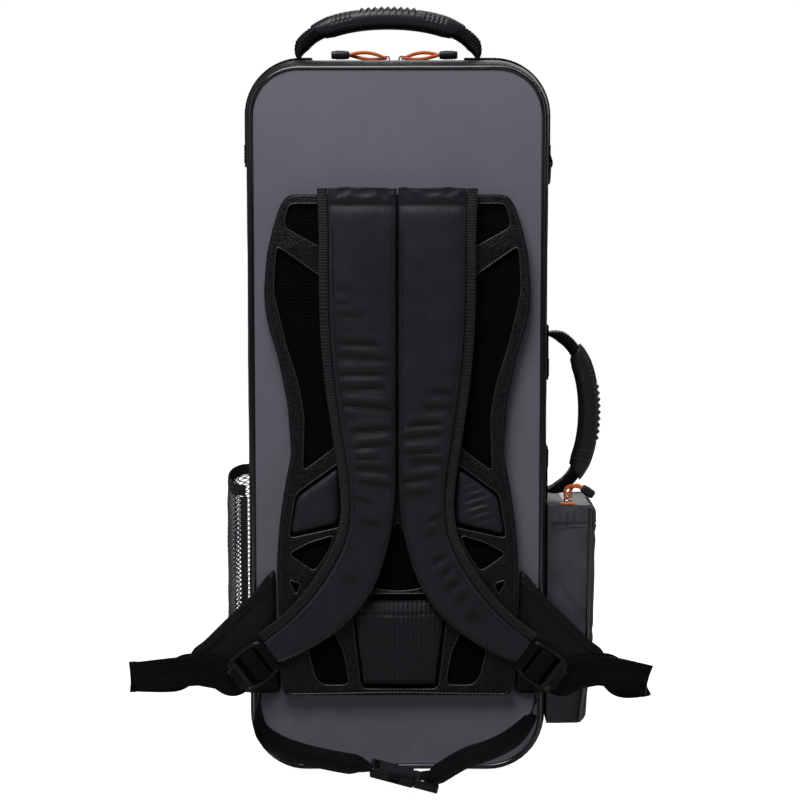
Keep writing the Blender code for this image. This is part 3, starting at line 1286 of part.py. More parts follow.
def make_buckle():
    """A side-release buckle: a hollow socket on the left belt and a plug with three prongs on the right."""
    total = SOCKET_LENGTH + GAP + PLUG_LENGTH
    left = -total / 2
    mouth = left + SOCKET_LENGTH
    socket = add_mesh(
        "waist_buckle_socket", buckle_box(left, mouth, BUCKLE_WIDTH, BUCKLE_THICKNESS),
        "buckle_plastic", BUCKLE_PLASTIC,
    )
    bevel(socket, BUCKLE_ROUND)
    inside = BUCKLE_WIDTH - 2 * BUCKLE_SHELL
    height = BUCKLE_THICKNESS - 2 * BUCKLE_SHELL
    depth = PRONG_LENGTH + BUCKLE_SHELL
    hollow = buckle_box(mouth - depth, mouth + CUT_OVERRUN, inside, height)
    cut(socket, add_cutter("socket_hollow", hollow))
    window = buckle_box(mouth - depth + BUCKLE_SHELL, mouth - depth / 2, BUCKLE_WIDTH + CUT_OVERRUN, height)
    cut(socket, add_cutter("socket_windows", window))
    slot_start = left + BUCKLE_BAR
    slot = buckle_box(slot_start, slot_start + BUCKLE_SLOT, BELT_WIDTH + 2 * GAP, 2 * BUCKLE_THICKNESS)
    cut(socket, add_cutter("socket_slot", slot))
    start = mouth + GAP
    plug_height = BUCKLE_THICKNESS - BUCKLE_SHELL
    plug = add_mesh(
        "waist_buckle_plug", buckle_box(start, start + PLUG_LENGTH, BUCKLE_WIDTH, plug_height),
        "buckle_plastic", BUCKLE_PLASTIC,
    )
    offset = inside / 2 - PRONG_WIDTH / 2 - GAP
    for key, y in (("left", -offset), ("middle", 0.0), ("right", offset)):
        root = start + BUCKLE_BAR
        mesh = buckle_box(mouth - PRONG_LENGTH, root, PRONG_WIDTH, PRONG_THICKNESS, y)
        prong = add_cutter("prong_" + key, mesh)
        join = plug.modifiers.new("prong_" + key, "BOOLEAN")
        join.operation = "UNION"
        join.solver = "EXACT"
        join.object = prong
    for key, at in (("near", start + 2 * BUCKLE_BAR), ("far", start + 3 * BUCKLE_BAR + BUCKLE_SLOT)):
        slot = buckle_box(at, at + BUCKLE_SLOT, BELT_WIDTH + 2 * GAP, 2 * BUCKLE_THICKNESS)
        cut(plug, add_cutter("plug_slot_" + key, slot))
    set_origin(socket, buckle_place(mouth, 0))
    set_origin(plug, buckle_place(start, 0))
    return left, start + PLUG_LENGTH, plug_height


def add_belt(name, root, shares, end, tail):
    """Webbing that hangs straight from a wing at root, goes in a slack arc to end and on through tail."""
    way = end - root
    slack = [root - Z_AXIS * BELT_ROOT]
    slack += [root + Vector((way.x * across, way.y * depth, way.z * drop)) for across, depth, drop in shares]
    path = [root] + smooth_path(slack + [end], 2) + tail
    mesh = webbing_mesh(path, [Y_AXIS] * len(path), BELT_WIDTH, WEBBING_THICKNESS)
    add_mesh(name, mesh, "webbing", BLACK_WEBBING)


def make_waist_belt():
    """Webbing from under each wing, in front of the back panel, to the buckle."""
    left, right, plug_height = make_buckle()
    wing_x, wing_z = pad_place(WING_EDGE_SHARES[-1], 1)
    root_y = WING_BACK_Y - BELT_WIDTH / 2
    root = Vector((-wing_x, root_y, wing_z - GAP))
    end = buckle_place(left - GAP - BELT_LEAD, 0)
    add_belt("left_waist_belt", root, LEFT_BELT_SHARES, end, [buckle_place(left - GAP, 0)])
    root = Vector((wing_x, root_y, wing_z - GAP))
    above = plug_height / 2 + 2 * GAP + WEBBING_THICKNESS / 2
    first = buckle_place(right - PLUG_LENGTH + 2 * BUCKLE_BAR, above)
    end = buckle_place(right - 2 * BUCKLE_BAR, above)
    add_belt("right_waist_belt", root, RIGHT_BELT_SHARES, end, [first.lerp(end, 0.5), first])


def make_harness():
    make_harness_pad()
    for name, sign, loop_reach in (("left", -1, LEFT_LOOP_REACH), ("right", 1, RIGHT_LOOP_REACH)):
        make_shoulder_strap(name, sign)
        make_ladder_lock(name, sign)
        make_strap_webbing(name, sign, loop_reach)
        make_wing(name, sign)
    make_waist_belt()


def hang_lid():
    """Puts the origins of the lid's pieces on the fabric hinge's axis."""
    axis = Vector((-CASE_WIDTH / 2 - GAP - HINGE_BEAD, SEAM_Y, CASE_HEIGHT / 2))
    for name in ("lid_shell", "lid_panel", "lid_piping", "lid_zip", "lid_hinge_tape", "lid_foam"):
        piece = PARTS.objects[name]
        set_origin(piece, axis)


make_shells()
make_panels()
make_zips()
make_hinge()
make_foam()
make_main_sliders()
make_handles()
make_side_pocket()
make_bottle_pocket()
make_rings_and_tabs()
make_harness()
hang_lid()
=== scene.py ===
"""The alto saxophone case, dressed: soft shell, harness, handles, pockets, zips and moulded fittings."""

from math import copysign, cos, exp, pi, radians, sin

import bmesh
import bpy
from mathutils import Matrix, Vector, noise
from mathutils.kdtree import KDTree


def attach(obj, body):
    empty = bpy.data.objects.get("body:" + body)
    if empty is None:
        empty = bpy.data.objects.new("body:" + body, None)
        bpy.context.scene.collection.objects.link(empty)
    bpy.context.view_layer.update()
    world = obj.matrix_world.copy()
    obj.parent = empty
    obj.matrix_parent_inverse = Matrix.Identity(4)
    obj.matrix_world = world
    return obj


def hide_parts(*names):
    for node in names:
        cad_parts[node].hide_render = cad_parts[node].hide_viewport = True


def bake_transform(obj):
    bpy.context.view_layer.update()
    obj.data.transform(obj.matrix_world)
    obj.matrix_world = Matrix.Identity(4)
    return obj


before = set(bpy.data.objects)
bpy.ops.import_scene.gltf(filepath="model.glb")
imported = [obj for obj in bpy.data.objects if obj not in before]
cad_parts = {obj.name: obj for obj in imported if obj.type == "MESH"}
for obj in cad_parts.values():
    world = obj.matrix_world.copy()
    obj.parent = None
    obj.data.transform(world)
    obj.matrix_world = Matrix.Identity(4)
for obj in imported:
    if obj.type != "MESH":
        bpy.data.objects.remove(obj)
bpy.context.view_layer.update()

X_AXIS, Y_AXIS, Z_AXIS = Vector((1, 0, 0)), Vector((0, 1, 0)), Vector((0, 0, 1))
TURN = 2 * pi

# The case and its planes in depth, in metres, as the solids have them. The harness side faces -Y.
WIDTH, HEIGHT = 0.275, 0.655
BACK_Y, SEAM_Y, FRONT_Y = -0.070, 0.035, 0.105
GAP = 0.0003
SIDE_WALL = WIDTH / 2 + GAP
TOP_CORNER, BOTTOM_CORNER = 0.050, 0.055
SIDE_INSET, END_INSET = 0.0045, 0.0070
BASE_ROUND, LID_ROUND = 0.040, 0.035
WALL, PANEL, SEAM_RIM, PIPING = 0.003, 0.002, 0.0025, 0.0018
PANEL_FRONT_Y = -0.0723
PAD_BACK_Y, PAD_FRONT_Y = -0.0726, -0.0806
BORDER_BACK_Y, BORDER_FRONT_Y = -0.0809, -0.0834
STRAP_BACK_Y, STRAP_THICKNESS = -0.0837, 0.013
WING_BACK_Y, WING_THICKNESS = -0.0749, 0.006
TAIL_Y, RUN_Y, LOCK_Y = -0.0819, -0.0836, -0.08635
LOCK_LENGTH = 0.038
HANDLE_Y, ANCHOR_TOP = -0.0175, 0.0026

# The harness pad's half width, foot and height. The outlines below are in thousandths of them.
PAD_HALF, PAD_BOTTOM, PAD_HEIGHT = 0.1198, 0.0782, 0.4556
PAD_EDGE = (
    (770, 1000), (826, 996), (876, 978), (930, 935), (977, 882), (998, 813), (990, 770), (950, 725),
    (900, 685), (826, 587), (800, 487), (847, 429), (893, 349), (914, 271), (910, 235), (900, 110), (870, 0),
)
PAIRED_WINDOWS = (
    ((806, 981), (560, 981), (560, 895), (843, 937)),
    ((895, 898), (560, 836), (470, 502), (717, 454), (702, 563), (739, 624), (836, 711), (895, 773),
     (925, 810), (910, 880)),
    ((430, 472), (415, 343), (822, 319), (766, 407)),
    ((821, 288), (672, 308), (479, 325), (524, 294), (628, 252)),
    ((821, 234), (739, 226), (769, 205)),
    ((680, 96), (487, 133), (412, 86), (370, 22), (568, 22), (620, 36)),
)
MIDDLE_WINDOW = (
    (0, 355), (234, 226), (190, 219.5), (120, 215.5), (50, 214), (-50, 214), (-120, 215.5), (-190, 219.5),
    (-234, 226),
)
LUMBAR_FRAME = ((-360, 206), (393, 206), (310, 14), (-275, 14))
HIP_PAD = ((447, 461), (438, 350), (809, 326), (757, 402))
STRAP_OUTER = (
    (520, 1012), (508, 930), (508, 850), (500, 740), (470, 640), (430, 560), (390, 490), (360, 430),
    (352, 375), (380, 325), (450, 280), (550, 235), (680, 190), (820, 152), (930, 128), (1015, 110.3),
)
STRAP_INNER = (
    (4, 1012), (10, 930), (10, 850), (10, 740), (10, 640), (10, 560), (10, 490), (12, 420), (35, 355),
    (75, 300), (140, 245), (240, 195), (380, 150), (550, 115), (740, 86), (895, 67.6),
)
STRAP_SWELL = (
    0.72, 0.95, 1.00, 0.98, 1.00, 0.97, 1.00, 0.98, 1.00, 0.98, 0.96, 0.92, 0.82, 0.68, 0.52, 0.46,
)
WING_EDGE = (
    (885, 0), (915, 110), (924, 258), (1080, 208), (1300, 152), (1480, 105), (1590, 80), (1600, 50),
    (1580, 18), (1300, 4), (1050, 0),
)

# Folds across the shoulder straps, in mm: height of the fold's middle, its start and end as shares of
# the way from the outer edge to the inner one, its depth, and its rise towards the inner edge
FOLDS = {
    "left": (
        (451, 0, 0.4, 0.7, 0), (438, 0, 0.4, 0.8, 1), (428, 0, 0.6, 0.8, 1), (402, 0, 0.8, 1.3, 0),
        (390, 0, 1, 1.1, -4), (375, 0, 0.9, 1.4, 1), (362.5, 0, 0.9, 1.5, 1), (346, 0, 1, 1.5, -4),
        (335, 0, 0.35, 0.8, 0), (324.5, 0.1, 1, 1.6, 3), (310, 0.1, 1, 1.4, 5), (298.5, 0.1, 0.7, 1.2, 2),
        (289, 0.1, 1, 1.4, -2), (276, 0.1, 1, 1.2, -1), (259, 0, 0.6, 0.9, -2), (240, 0.1, 0.8, 1, 3),
        (214, 0, 0.4, 0.6, 2), (189, 0.2, 0.7, 0.7, 6),
    ),
    "right": (
        (359, 0, 0.6, 0.9, 0), (345, 0, 0.65, 1.1, 0), (329.5, 0.1, 0.9, 1.4, -3), (319, 0.1, 1, 1.3, -5),
        (304, 0.1, 1, 1.2, -2), (295.5, 0, 0.8, 1.3, 1), (281, 0.1, 1, 1.3, -3), (267, 0.2, 1, 0.9, 3),
        (241, 0, 0.5, 1.2, -4), (229, 0.1, 0.6, 0.9, -6), (205, 0.1, 0.6, 1.2, -7), (192, 0.1, 0.6, 1.2, -8),
        (180, 0.1, 0.65, 1.2, -8), (168, 0.1, 0.6, 1.1, -8), (154, 0.2, 0.7, 1.1, -7),
    ),
}

# Creases in the grey panels, in mm: start and end in X and Z, width and depth
BACK_CREASES = (
    (-31.6, 612.6, -22.7, 569, 2.2, 1.2), (-74.4, 76.8, -88.6, 42.5, 5, 1.6), (18.2, 40, 10.2, 20, 4.5, 1.2),
    (60, 600, 85, 566, 8, 0.6), (-60, 78, -36, 36, 5, 1.4), (72, 74, 80, 40, 5, 1.4),
    (104, 70, 112, 46, 5.5, 1.4), (-100, 64, -112, 46, 6, 1.6), (-105, 300, -110, 240, 6, 0.6),
    (114, 330, 120, 270, 6, 0.6),
)
LID_CREASES = ((-50, 560, -20, 510, 3, 0.5), (30, 120, 55, 80, 3.5, 0.5))


# Finishes

def linear(swatch):
    """A hex colour as read off a swatch, as the linear colour that a shader takes."""
    parts = [int(swatch[i:i + 2], 16) / 255 for i in (1, 3, 5)]
    return [p / 12.92 if p <= 0.04045 else ((p + 0.055) / 1.055) ** 2.4 for p in parts] + [1.0]


def add(tree, kind, feed=(), **settings):
    """Adds a shader node. feed gives its inputs by place or name, as values or as sockets to link."""
    node = tree.nodes.new("ShaderNode" + kind)
    for name, value in settings.items():
        setattr(node, name, value)
    for key, value in feed.items() if isinstance(feed, dict) else enumerate(feed):
        if isinstance(value, bpy.types.NodeSocket):
            tree.links.new(value, node.inputs[key])
        else:
            node.inputs[key].default_value = value
    return node


def weighed(tree, parts, result=0.0):
    """A start value plus each socket times its weight."""
    for value, weight in parts:
        result = add(tree, "Math", (value, weight, result), operation="MULTIPLY_ADD").outputs[0]
    return result


def patch(size, detail=3.0):
    """Soft noise whose patches are about size metres across, from 0 to 1."""
    def draw(tree):
        spot = add(tree, "TexCoord").outputs["Object"]
        return add(tree, "TexNoise", {"Vector": spot, "Scale": 1 / size, "Detail": detail}).outputs[0]
    return draw


def wave(way, pitch, place="Object", sway=0.0):
    """Ribs or threads across a direction, one each pitch metres, which may sway by some metres."""
    def draw(tree):
        spot = add(tree, "TexCoord").outputs[place]
        ways = [share * TURN / pitch for share in way]
        turns = add(tree, "VectorMath", (spot, ways), operation="DOT_PRODUCT").outputs[1]
        if sway:
            turns = weighed(tree, [(patch(0.016, 2.0)(tree), sway * TURN / pitch)], turns)
        return add(tree, "Math", (turns,), operation="SINE").outputs[0]
    return draw


def cells(size, randomness, limits=None):
    """Distance from the middles of cells about size metres across, stretched between two limits."""
    def draw(tree):
        feed = {"Vector": add(tree, "TexCoord").outputs["Object"], "Scale": 1 / size, "Randomness": randomness}
        away = add(tree, "TexVoronoi", feed).outputs["Distance"]
        return add(tree, "MapRange", {0: away, 1: limits[0], 2: limits[1]}).outputs[0] if limits else away
    return draw


def crossed(one, other, operation):
    return lambda tree: add(tree, "Math", (one(tree), other(tree)), operation=operation).outputs[0]


def weave(pitch, colour, relief):
    """Crossing threads of a plain weave in all three directions."""
    return [(wave(way, pitch), colour * 0.4, relief * 0.4) for way in (X_AXIS, Y_AXIS, Z_AXIS)]


def finish(name, roughness, dark, light, layers, start=0.0, depth=0.0, strength=1.0, folds=None, dull=None,
           **constants):
    """A Principled material between two swatches, with a relief that is depth metres deep.

    Each layer is a pattern with its weight in the colour and in the relief. folds is a painted shade colour,
    mixed in by the vertex attribute fold to darken deep folds, and dull gives the roughness as a share of the first
    layer and a start.
    """
    made = bpy.data.materials.new(name)
    made.use_nodes = True
    tree = made.node_tree
    shader = tree.nodes["Principled BSDF"]
    for key, value in {"Roughness": roughness, **constants}.items():
        shader.inputs[key.replace("_", " ")].default_value = value
    drawn = [(pattern(tree), colour, relief) for pattern, colour, relief in layers]
    share = weighed(tree, [(value, colour) for value, colour, _ in drawn if colour], start)
    colour = add(tree, "Mix", {0: share, 6: linear(dark), 7: linear(light)}, data_type="RGBA").outputs[2]
    # Painted shade: the near-black folds colour is mixed into the base colour where the vertex attribute fold is high.
    if folds:
        fold_shade = add(tree, "Attribute", attribute_name="fold").outputs["Fac"]
        colour = add(tree, "Mix", {0: fold_shade, 6: colour, 7: linear(folds)}, data_type="RGBA").outputs[2]
    tree.links.new(colour, shader.inputs["Base Color"])
    if dull:
        tree.links.new(weighed(tree, [(drawn[0][0], dull[0])], dull[1]), shader.inputs["Roughness"])
    if depth:
        height = weighed(tree, [(value, relief) for value, _, relief in drawn if relief])
        bump = add(tree, "Bump", {"Strength": strength, "Distance": depth, "Height": height})
        tree.links.new(bump.outputs[0], shader.inputs["Normal"])
    return made


FINISHES = {
    # Polyester twill laminated to board: a dry, even grey with the faintest diagonal rib. Real threads
    # are 0.4 mm apart. They are drawn at 1.9 mm, as fine as the picture can hold.
    "twill": finish(
        "polyester_twill", 0.62, "#5f6069", "#71727c",
        [(wave((1, 0, 1), 0.0019), 0.18, 0.25), (wave((-0.6, 0, 1), 0.0017), 0.18, 0.25), (patch(0.11), 0.9, 0)],
        0.05, 0.0002, 0.35, Specular_IOR_Level=0.25, Sheen_Weight=0.03),
    # Black nylon oxford over board: a basket weave with a slight waxy sheen on the round edges. Threads
    # of 0.7 mm, drawn at 2.2 mm so that the weave shows.
    "oxford": finish(
        "oxford_nylon", 0.50, "#0b0b0e", "#1a1a20", weave(0.0022, 0.30, 0.5) + [(patch(0.045), 0.6, 1)],
        0.1, 0.0004, 0.6, Specular_IOR_Level=0.17, Sheen_Weight=0.02),
    # Lighter grey nylon of the accessory pocket, limp and slightly creased
    "pocket": finish(
        "pocket_nylon", 0.52, "#36383e", "#565960", weave(0.0020, 0.15, 0.3) + [(patch(0.030, 4.0), 0.8, 2)],
        0.05, 0.0005, 0.7, Specular_IOR_Level=0.3, Sheen_Weight=0.03),
    # Extruded vinyl piping: smooth, with the sharp bright line of soft plastic
    "vinyl": finish(
        "vinyl_piping", 0.16, "#0d0d0f", "#1b1b1e", [(patch(0.012), 1, 1)], 0, 0.0003, 0.3,
        Coat_Weight=0.8, Coat_Roughness=0.08),
    # Calendered nylon taffeta over foam: blue-black, fine ribs along the strap, broad soft gloss, with painted
    # shade in its folds. Ribs of 0.5 mm, drawn at 2.1 mm.
    "taffeta": finish(
        "navy_taffeta", 0.50, "#14141a", "#25252e",
        [(wave((1, 0, 0), 0.0021), 0.16, 0.18), (wave((0, 0, 1), 0.0017), 0.05, 0.10), (patch(0.022, 4.0), 0.9, 2.2)],
        # painted shade: folds is the near-black painted into the strap's folds and under its top seam
        0, 0.0005, 0.6, folds="#040406", Specular_IOR_Level=0.3, Sheen_Weight=0.03),
    # Textured binding fabric of the harness: a purple-black crepe with a pebbled face. Pebbles of
    # 0.9 mm, drawn at 1.9 mm.
    "border": finish(
        "pebbled_crepe", 0.52, "#030204", "#221e26", [(cells(0.0019, 0.8), -0.975, -1.3), (patch(0.006, 2.0), 0.4, 0)],
        0.65, 0.0006, 0.9, Specular_IOR_Level=0.16, Sheen_Weight=0.02),
    # Woven polypropylene webbing: dense black ribs across the band and two picks along it. Ribs of
    # 1.2 mm, drawn at 2.4 mm.
    "webbing": finish(
        "polypropylene_webbing", 0.42, "#020203", "#17151a",
        [(wave((0, 1, 0), 0.0024, "UV"), 0.24, 0.30), (patch(0.010), 0.4, 0),
         (crossed(wave((0, 1, 0), 0.0024, "UV"), wave((1, 0, 0), 0.0030, "UV"), "MULTIPLY"), 0.20, 0.25)],
        0.2, 0.0006, 0.9, Specular_IOR_Level=0.09),
    # Grosgrain tape that binds an edge: finer ribs and a drier face than the webbing
    "grosgrain": finish(
        "grosgrain_tape", 0.56, "#09070a", "#262129",
        [(wave((0, 1, 0), 0.0019, "UV"), 0.25, 0.4), (patch(0.0022, 1.0), 1, 1)],
        0, 0.0004, 0.8, Specular_IOR_Level=0.22, Sheen_Weight=0.02),
    # Air mesh of the back pad: black knit full of pinholes, which swallows nearly all light
    "mesh": finish(
        "spacer_mesh", 0.9, "#010101", "#070506", [(cells(0.0032, 0.15, (0.18, 0.45)), 1, 1)],
        0, 0.0008, 0.8, Specular_IOR_Level=0.08),
    # Stretch knit of the lumbar pad, navy-grey, gathered in fine upright pleats
    "knit": finish(
        "gathered_knit", 0.55, "#0d0d12", "#1f2028",
        [(wave((1, 0, 0), 0.0042, sway=0.0025), 0.18, 0.5), (wave((0, 0, 1), 0.0018), 0.06, 0.1)],
        0.45, 0.0008, 0.7, Specular_IOR_Level=0.25, Sheen_Weight=0.04),
    # Moulded thermoplastic rubber of the grips: charcoal, satin, with a fine sandblasted grain
    "rubber": finish(
        "moulded_rubber", 0.36, "#141418", "#292930", [(patch(0.0012, 2.0), 0.35, 1), (patch(0.020), 0.5, 0)],
        0, 0.0002, 0.5, Specular_IOR_Level=0.35),
    # Injection moulded acetal of buckles and ladder locks: dark, hard, softly glossy edges
    "acetal": finish(
        "moulded_acetal", 0.30, "#09090b", "#16171a", [(patch(0.0009, 2.0), 0.3, 1), (patch(0.015), 0.5, 0)],
        0, 0.0001, 0.5, Specular_IOR_Level=0.3),
    # Braided orange cord: two sets of strands that cross on the slant, drawn at 1.3 mm
    "orange": finish(
        "braided_cord", 0.55, "#b9480a", "#ff7d1c",
        [(crossed(wave((1, 1, 0), 0.0013, "UV"), wave((-1, 1, 0), 0.0013, "UV"), "MAXIMUM"), 0.5, 1)],
        0.5, 0.0003, 0.7, Sheen_Weight=0.2),
    # Woven zip tape: flat black twill with a raised stitch line
    "tape": finish(
        "zip_tape_twill", 0.62, "#0e0e10", "#232226", [(wave((1, 1, 0), 0.0018, "UV"), 0.2, 1), (patch(0.008), 1, 0)],
        0, 0.0003, 0.5),
    # Nylon monofilament coil of the zip: glassy black teeth
    "coil": finish("zip_coil", 0.28, "#0f0f11", "#2a2a2e", [(patch(0.002), 1, 0)]),
    # Die-cast zinc, nickel plated: bright with small casting waves and dull corners
    "nickel": finish(
        "nickel_plate", 0.24, "#a9acb2", "#e4e6ea", [(patch(0.002), 1, 1)], 0, 0.0002, 0.4, dull=(0.25, 0.12),
        Metallic=1.0),
    # Bent steel wire, powder coated black, with slight orange peel
    "steel": finish(
        "painted_steel", 0.34, "#0e0e10", "#242428", [(patch(0.0016, 2.0), 1, 1)], 0, 0.0002, 0.5, Coat_Weight=0.2),
    # Plush velour flocked over moulded foam: matt charcoal, its nap brushed in soft patches
    "velour": finish(
        "plush_velour", 0.95, "#17171b", "#34343c", [(patch(0.030, 5.0), 0.8, 1), (patch(0.0016, 2.0), 0.3, 1)],
        0, 0.0012, 0.7, Sheen_Weight=0.8, Sheen_Roughness=0.35),
    # Knotless polyester net: thin grey-black yarn with a cool shine
    "net": finish("net_yarn", 0.34, "#0a0b0e", "#3d4650", [(patch(0.004), 1, 0)]),
    # Black bonded thread, twisted, with a light on each turn
    "thread": finish("bonded_thread", 0.40, "#040405", "#1d1b20", [(patch(0.0020, 1.0), 1, 0)]),
    # Purple-grey overlock thread along the edges of the harness's windows
    "overlock": finish("overlock_thread", 0.45, "#151217", "#37323a", [(patch(0.0020, 1.0), 1, 0)]),
}


# Places and paths

def clamp(value):
    return min(1.0, max(0.0, value))


def hill(away, width=1.0):
    """One at nought, falling off on both sides."""
    return exp(-(away / width) ** 2)


def ripple(point, size, seed=0.0):
    """Soft noise about zero for a place, its waves about size metres long."""
    return noise.noise(Vector((point[0] / size, point[1] / size + seed, point[2] / size)))


def crease(x, z, x1, z1, x2, z2, width):
    """One on the line between two places in X and Z, falling to nought beside it."""
    start, along = Vector((x1, z1)), Vector((x2 - x1, z2 - z1))
    point = Vector((x, z)) - start
    share = clamp(point.dot(along) / along.length_squared)
    return hill((point - along * share).length, width) * sin(pi * min(0.9, max(0.1, share))) ** 0.5


def line(start, end, steps):
    return [start.lerp(end, i / steps) for i in range(steps + 1)]


def arc(centre, side, up, start, end, steps):
    """Places round centre from one angle in degrees to another. side and up are its two radii."""
    angles = [radians(start + (end - start) * i / steps) for i in range(steps + 1)]
    return [centre + side * cos(angle) + up * sin(angle) for angle in angles]


def at_depth(places, y):
    return [Vector((p.x, y, p.z)) for p in places]


def length_of(path):
    return sum((b - a).length for a, b in zip(path, path[1:]))


def smooth_path(points, steps):
    """Places on a smooth curve through the given ones."""
    places = [Vector(p) for p in points]
    places = [2 * places[0] - places[1]] + places + [2 * places[-1] - places[-2]]
    path = []
    for before, start, end, after in zip(places, places[1:], places[2:], places[3:]):
        for t in (i / steps for i in range(steps)):
            path.append(
                0.5 * (2 * start + (end - before) * t
                       + (2 * before - 5 * start + 4 * end - after) * t * t
                       + (3 * start - before - 3 * end + after) * t * t * t)
            )
    return path + [places[-2]]


def even_path(path, spacing, loop=False):
    """The same line with its places a spacing apart."""
    if loop:
        path = path + path[:1]
    reach = [0.0]
    for a, b in zip(path, path[1:]):
        reach.append(reach[-1] + (b - a).length)
    count = max(2, round(reach[-1] / spacing))
    places, k = [], 0
    for i in range(count if loop else count + 1):
        want = reach[-1] * i / count
        while k < len(path) - 2 and reach[k + 1] < want:
            k += 1
        places.append(path[k].lerp(path[k + 1], (want - reach[k]) / max(reach[k + 1] - reach[k], 1e-9)))
    return places


def even_band(path, acrosses, spacing):
    """The same band with its stations a spacing apart: places and directions across."""
    places, ways = [path[0]], [acrosses[0].normalized()]
    left = spacing
    for k in range(1, len(path)):
        reach = (path[k] - path[k - 1]).length
        at = left
        while at <= reach:
            share = at / reach
            places.append(path[k - 1].lerp(path[k], share))
            ways.append(acrosses[k - 1].lerp(acrosses[k], share).normalized())
            at += spacing
        left = at - reach
    return places, ways


def directions(path, loop=False):
    count = len(path)
    if loop:
        return [(path[(i + 1) % count] - path[i - 1]).normalized() for i in range(count)]
    return [(path[min(i + 1, count - 1)] - path[max(i - 1, 0)]).normalized() for i in range(count)]


# Sections: the reach across and the reach outwards at a distance along a path and an angle round it

def rounded(angle, half_width, half_height, power):
    """An ellipse at power 2, squarer above it."""
    c, s = cos(angle), sin(angle)
    a = copysign(abs(c) ** (2 / power), c) * half_width
    return a, copysign(abs(s) ** (2 / power), s) * half_height


def oval(half_width, half_height, power, start, end, steps):
    return [rounded(start + (end - start) * i / steps, half_width, half_height, power) for i in range(steps + 1)]


def plain(half_width, half_height, power=2):
    return lambda at, angle: rounded(angle, half_width, half_height, power)


def band(width, thickness, pitch=0.0024, rib=0.10, power=7):
    """Heavy webbing whose ribs stand out across it."""
    def section(at, angle):
        a, b = rounded(angle, width / 2, thickness / 2, power)
        return a, b * (1 + rib * sin(TURN * at / pitch))
    return section


# Making pieces

def pick(*things):
    """Selects these alone and makes the first one active."""
    for thing in bpy.context.selected_objects:
        thing.select_set(False)
    for thing in things:
        thing.select_set(True)
    if things:
        bpy.context.view_layer.objects.active = things[0]


def apply_step(thing, kind, **settings):
    """Adds one modifier and applies it."""
    pick(thing)
    step = thing.modifiers.new(kind.lower(), kind)
    for name, value in settings.items():
        setattr(step, name, value)
    bpy.ops.object.modifier_apply(modifier=step.name)


def weld(thing, distance, fill=False, flat=False):
    """Merges doubled corners, then closes holes, and joins flat faces or points them all outwards."""
    pick(thing)
    bpy.ops.object.mode_set(mode="EDIT")
    bpy.ops.mesh.select_all(action="SELECT")
    bpy.ops.mesh.remove_doubles(threshold=distance)
    if fill:
        bpy.ops.mesh.fill_holes(sides=0)
    if flat:
        bpy.ops.mesh.dissolve_limited(angle_limit=radians(1))
    else:
        bpy.ops.mesh.normals_make_consistent(inside=False)
    bpy.ops.object.mode_set(mode="OBJECT")


def join(*things):
    pick(*things)
    bpy.ops.object.join()
    return things[0]


def dress(thing, name, body, look, slot, *nodes, fill=None, degrees=40):
    """Names a finished piece, gives it its finish and fixes it on its body."""
    thing.name = thing.data.name = name
    thing.data.materials.clear()
    thing.data.materials.append(FINISHES[look])
    pick(thing)
    bpy.ops.object.shade_smooth_by_angle(angle=radians(degrees))
    if body:
        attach(thing, body)
    if nodes:
        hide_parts(*nodes)
    return thing


def skin(rings, wrap=True, tyre=False, fill=True):
    """Quads over rings of places: wrap closes each ring, tyre joins the last ring to the first."""
    pick()
    count, levels = len(rings[0]), len(rings)
    wide = count if wrap else count - 1
    tall = levels if tyre else levels - 1
    bpy.ops.mesh.primitive_grid_add(x_subdivisions=wide, y_subdivisions=tall, size=1.0)
    thing = bpy.context.object
    for vert in thing.data.vertices:
        i = round((vert.co.x + 0.5) * wide) % count
        j = round((vert.co.y + 0.5) * tall) % levels
        vert.co = rings[j][i]
    middle = rings[levels // 2]
    girth, length = length_of(middle + middle[:1]), length_of([ring[0] for ring in rings])
    for corner in thing.data.uv_layers[0].data:
        corner.uv = (corner.uv[0] * girth, corner.uv[1] * length)
    weld(thing, 0.000005, fill)
    return thing


def sweep(path, acrosses, section, around=16, loop=False):
    """A sleeve along a path, with a section."""
    rings, at = [], 0.0
    if isinstance(acrosses, Vector):
        acrosses = [acrosses] * len(path)
    for k, (point, way, across) in enumerate(zip(path, directions(path, loop), acrosses)):
        at += (point - path[k - 1]).length if k else 0.0
        side = (across - way * across.dot(way)).normalized()
        out = side.cross(way)
        reaches = [section(at, TURN * (i + 0.5) / around) for i in range(around)]
        rings.append([point + side * a + out * b for a, b in reaches])
    return skin(rings, tyre=loop)


def bead_row(path, radius, pitch, across=Y_AXIS, loop=False):
    """A row of stitches: a thin cord that is pinched between them."""
    def section(at, angle):
        size = radius * (0.35 + 0.65 * abs(sin(pi * at / pitch)))
        return size * cos(angle), size * sin(angle)

    return sweep(even_path(path, pitch / 4, loop), across, section, 5, loop)


def solid_copy(node):
    """A welded copy of a CAD node's mesh, to work on."""
    source = bpy.data.objects[node]
    thing = bpy.data.objects.new(node + "_dressed", source.data.copy())
    bpy.context.scene.collection.objects.link(thing)
    thing.matrix_world = source.matrix_world
    pick(thing)
    bpy.ops.object.transform_apply(location=True, rotation=True, scale=True)
    weld(thing, 0.00001, flat=True)
    return thing


def crowned(edge, middle, front_y, levels, depth, reach=1.0):
    """Rings from a middle out to an edge, where depth(spot, share) gives each place's Y."""
    rings = [at_depth([middle] * len(edge), front_y)]
    for share in (i / levels for i in range(1, levels + 1)):
        spots = [middle.lerp(place, share * reach) for place in edge]
        rings.append([Vector((spot.x, depth(spot, share), spot.z)) for spot in spots])
    return rings


# The shells, panels, piping, zip, hinge and foam

